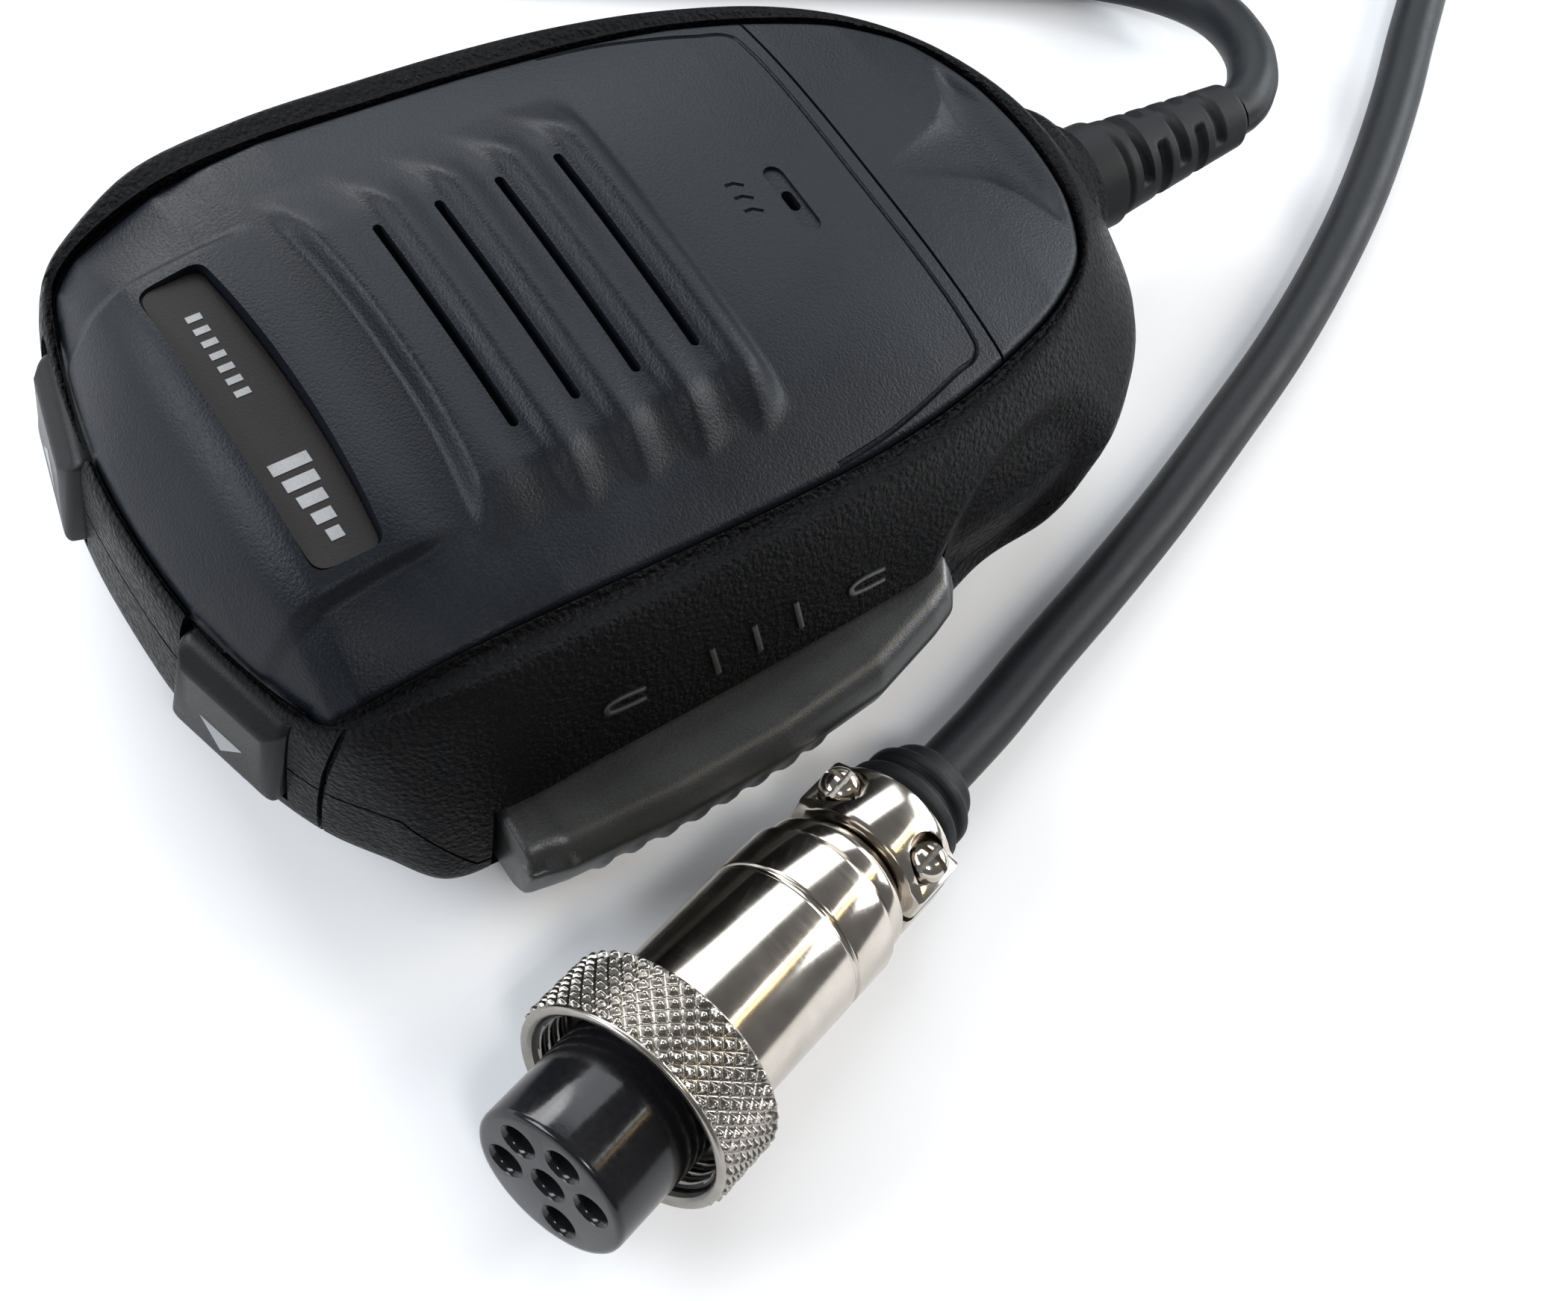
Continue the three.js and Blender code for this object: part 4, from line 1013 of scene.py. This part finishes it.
def curl_points():
    """Turns of the curly length, from the bottom of the first to the bottom of the last."""
    travel = np.array([*CURL.travel, 0])
    across = np.array([-CURL.travel[1], CURL.travel[0], 0])
    phase = np.linspace(0, 2 * pi * CURL.turns, CURL.turns * 24 + 1)[:, None]
    centre = np.array(CURL.start) + travel * CURL.pitch * phase / (2 * pi)
    return centre + CURL.radius * (np.sin(phase) * across - np.cos(phase) * np.array([0, 0, 1]))


def cord_route():
    curl = curl_points()
    head = through(MIC_TAIL + [tuple(curl[0])], 6 * len(MIC_TAIL) + 1)
    tail = through([tuple(curl[-1])] + PLUG_TAIL, 6 * len(PLUG_TAIL) + 1)
    return np.vstack([head[:-1], curl, tail[1:]])


def make_cord():
    route = cord_route()
    curve = bpy.data.curves.new("cord", "CURVE")
    curve.dimensions = "3D"
    curve.bevel_depth = CORD_RADIUS * MM
    curve.bevel_resolution = 6
    curve.use_fill_caps = True
    spline = curve.splines.new("POLY")
    spline.points.add(len(route) - 1)
    for point, place in zip(spline.points, route * MM):
        point.co = (*place, 1)
    spline.use_smooth = True
    curve.materials.append(MATERIALS["cord"])
    cord = linked("cord", curve)
    dressed(cord, "cord", "cord_mic_tail", "cord_curl", "cord_plug_tail")


# ---- plug
def plug_place():
    heading, tilt = radians(PLUG.heading), radians(PLUG.nose_up)
    toward = Vector((cos(heading) * cos(tilt), sin(heading) * cos(tilt), -sin(tilt)))
    sideways = Vector((sin(heading), -cos(heading), 0))
    return placed(Vector(PLUG.ring_front) * MM, sideways, toward, sideways.cross(toward))


PLUG_PLACE = plug_place()
KNURL = Sizes(around=42, pitch=1.5, depth=0.5, radius=9.7, end=6.2)
THREAD = Sizes(radius=8.4, depth=0.45, reach=8.6, root=8.1)
RING_LENGTH = 6.6


def make_ring():
    """Coupling ring with a diamond knurl outside and a screw thread inside its mouth."""
    angles = full_turn(KNURL.around * 10)
    turns = angles / (2 * pi)
    start = [(0.4, 0.0), (0.3, 0.08), (0.25, 0.3), (0.3, 0.45)]
    rows = [circle(KNURL.radius - drop, y, angles) for drop, y in start]
    for y in np.linspace(0.55, KNURL.end, 60):
        a = turns * KNURL.around + y / KNURL.pitch
        b = turns * KNURL.around - y / KNURL.pitch
        valley = smooth(np.minimum(np.abs((a % 1) - 0.5), np.abs((b % 1) - 0.5)) * 2 * 1.2)
        fade = min(1.0, (KNURL.end - y) / 0.3 + 0.3)
        rows.append(circle(KNURL.radius - KNURL.depth * (1 - valley) * fade, y, angles))
    back = [(9.45, 6.35), (9.2, 6.5), (8.9, RING_LENGTH), (6.95, RING_LENGTH), (6.95, 4.6), (7.9, 4.6)]
    rows += [circle(radius, y, angles) for radius, y in back]
    for y in np.linspace(4.4, 0.5, 60):
        wave = 0.5 + 0.5 * np.cos(2 * pi * (y - turns))
        rows.append(circle(THREAD.radius - THREAD.depth * wave ** 4, y, angles))
    rows += [circle(radius, y, angles) for radius, y in ((8.5, 0.25), (8.75, 0.05), (8.85, 0))]
    knurled = piece("coupling_ring_skin", skinned(rows, closed=True), "satin", 60, PLUG_PLACE)
    # The thread faces inside the mouth take the darker bore copy of the satin metal: painted shade for the
    # shadowed inside of the ring.
    knurled.data.materials.append(MATERIALS["bore"])
    for face in knurled.data.polygons:
        across = hypot(face.center.x, face.center.z) / MM
        if THREAD.root <= across < THREAD.reach and face.center.y < 6.4 * MM:
            face.material_index = 1
    return dressed(knurled, "satin_nickel", "plug_coupling_ring", body="coupling_ring")


def lathe_piece(name, profile, cuts, material, slot, node):
    obj = piece(name, lathed(profile, cuts, 120), material, 30, PLUG_PLACE)
    return dressed(obj, slot, node)


def make_barrel():
    """Shell, gland ring and rubber sleeve behind the coupling ring."""
    shell = [
        (5.9, 2.9), (7.5, 2.9), (7.5, 4.3), (6.65, 4.3), (6.65, 6.9), (7.25, 6.9), (7.25, 19.25),
        (6.95, 19.4), (6.95, 19.75), (7.25, 19.9), (7.25, 24.6), (5.9, 24.6),
    ]
    shell_cuts = [0, 0.2, 0.2, 0.2, 0.2, 0.35, 0.12, 0.1, 0.1, 0.12, 0.6, 0.1, 0]
    gland = [(3, 24.85), (6.6, 24.85), (6.6, 26.7), (5.6, 27), (5.2, 28), (3, 28)]
    gland_cuts = [0, 0.4, 0.6, 0.5, 0.3, 0.1, 0]
    sleeve = [
        (2.8, 34.4), (4.7, 34.4), (5.3, 34.8), (5.3, 36), (4.5, 36.4), (4.4, 37), (4.9, 37.3), (4.9, 38.3),
        (4.1, 38.7), (4, 39.9), (3.6, 40.4), (2.8, 40.4),
    ]
    return [
        lathe_piece("plug_shell_skin", shell, shell_cuts, "nickel", "nickel", "plug_shell"),
        lathe_piece("plug_gland_skin", gland, gland_cuts, "nickel", "nickel", "plug_gland_ring"),
        lathe_piece("plug_sleeve_skin", sleeve, [0] + [0.3] * 11 + [0], "rubber", "rubber", "plug_sleeve"),
    ]


HOLES = Sizes(radius=3.95, angles=(26, 86, 148, 206, 300))


def make_insert():
    """Black insert with a ring of contact holes round a central one."""
    profile = [(0.01, -7.9), (6.6, -7.9), (6.6, 2.6), (5.6, 2.6), (5.6, 13), (0.01, 13)]
    cuts = [0, 0.55, 0.2, 0.2, 0.2, 0.2, 0]
    insert = lathe_piece("plug_insert_skin", profile, cuts, "gloss", "gloss_black", "plug_insert")
    bore = [(0.01, -12), (1.6, -12), (1.6, -7.9), (1.25, -7.6), (1.25, 2), (0.01, 2)]
    points, faces = lathed(bore, [0, 0, 0.1, 0.3, 0, 0, 0], 28)
    turns = [radians(a) for a in HOLES.angles]
    places = [(0, 0)] + [(HOLES.radius * cos(a), HOLES.radius * sin(a)) for a in turns]
    carved(insert, *((points + (x, 0, z), faces) for x, z in places))
    return shaded(insert, 35)


CLAMP_SCREWS = Sizes(x=(-4.5, 4.5), y=31.2)


def saddle(side):
    """Half of the cord clamp, an arched strap with screw ears."""
    arch = [(-6.3, 0.35), (-6.3, 2.7)]
    arch += [(6.2 * cos(a), 6.1 * sin(a)) for a in np.linspace(pi * 0.82, pi * 0.18, 17)]
    arch += [(6.3, 2.7), (6.3, 0.35), (2.98, 0.35)]
    arch += [(3 * cos(a), 3 * sin(a)) for a in np.linspace(0.13, pi - 0.13, 13)[1:]]
    outline = np.array(arch)
    rows = []
    for y, shrink in ((28.3, 0.5), (28.5, 0.15), (28.9, 0), (33.5, 0), (33.9, 0.15), (34.1, 0.5)):
        row = outline.copy()
        scale = 1 - shrink / 6.3
        far = np.hypot(row[:, 0], row[:, 1]) > 3.2
        row[far] = row[far] * scale
        row[:, 1] = np.maximum(row[:, 1], 0.35)
        rows.append(np.column_stack([row[:, 0], np.full(len(row), y), row[:, 1] * side]))
    return skinned(rows if side > 0 else [row[::-1] for row in rows])


def make_clamp():
    pieces = []
    y = CLAMP_SCREWS.y
    for name, side in (("clamp_saddle_top", 1), ("clamp_saddle_bottom", -1)):
        strap = piece(f"{name}_skin", saddle(side), "nickel", 38, PLUG_PLACE)
        for x in CLAMP_SCREWS.x:
            carved(strap, upright(1.15, x, y, -8, 8), upright(1.95, x, y, 3.2, 9),
                     upright(1.95, x, y, -9, -3.2))
        pieces.append(dressed(shaded(strap, 38), "nickel", name))
    profile = [(0.01, -4.6), (0.85, -4.6), (0.85, 3.4), (1.65, 3.4), (1.65, 4.6), (0.9, 5.2), (0.01, 5.25)]
    for i, x in enumerate(CLAMP_SCREWS.x):
        solid = stood_up(profile, [0, 0.1, 0.1, 0.1, 0.5, 0.5, 0], 40, x, y)
        screw = piece(f"clamp_screw_{i + 1}_skin", solid, "nickel", 35, PLUG_PLACE)
        carved(screw, *cross_slot(x, y, 3, 0.25, 4.4, 8))
        pieces.append(dressed(shaded(screw, 35), "nickel", f"clamp_screw_{i + 1}"))
    return pieces


# ---- back
def make_back():
    profile = [(0.01, 0), (7.5, 0), (8, 0.7), (8, 1.5), (7.2, 2.1), (4.3, 2.3), (4.2, 4.2), (0.01, 4.2)]
    stud = stood_up(profile, [0, 0.3, 0.3, 0.3, 0.3, 0.4, 0.1, 0], 72)
    dressed(piece("hang_stud_skin", stud, "satin", 30), "satin_nickel", "hang_stud")
    profile = [(0.01, 4.6), (2.4, 4.6), (2.4, 5.5), (1.1, 5.5), (1.1, 14), (0.01, 14)]
    for i, (x, y) in enumerate(SCREWS):
        solid = stood_up(profile, [0, 0.5, 0.1, 0.1, 0.1, 0], 36, x, y)
        screw = piece(f"cover_screw_{i + 1}_skin", solid, "steel", 35)
        carved(screw, *cross_slot(x, y, 1.4, 0.3, 4, 5.1))
        dressed(shaded(screw, 35), "steel", f"cover_screw_{i + 1}")


# ---- the pieces that stay as CAD solids
INNER = {
    "steel": ["up_switch_body", "down_switch_body", "talk_bar_pivot_pin", "talk_bar_spring", "board_screw_1",
              "board_screw_2", "voice_capsule", "speaker_frame", "speaker_magnet", "hang_stud_screw"],
    "gloss": ["up_switch_plunger", "down_switch_plunger", "talk_switch_plunger", "talk_switch_body"],
    "board": ["circuit_board"],
    "rubber": ["voice_capsule_holder", "speaker_cone"],
    "brass": [f"plug_contact_{i}" for i in range(1, 7)],
}


def dress_inner_pieces():
    for material, names in INNER.items():
        for name in names:
            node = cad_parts[name]
            node.data.materials.clear()
            node.data.materials.append(MATERIALS[material])


def make_floor():
    floor = piece("floor", box((-1500, -1500, -2), (1500, 1500, -0.02)), None)
    floor.data.materials.append(floor_material())


make_camera()
make_light()
make_floor()
make_case()
make_panel()
make_wall_marks()
make_label_marks()
make_buttons()
make_talk_bar()
boot = make_boot()
plug_pieces = [make_ring()] + make_barrel() + [make_insert()] + make_clamp()
make_cord()
make_back()
dress_inner_pieces()
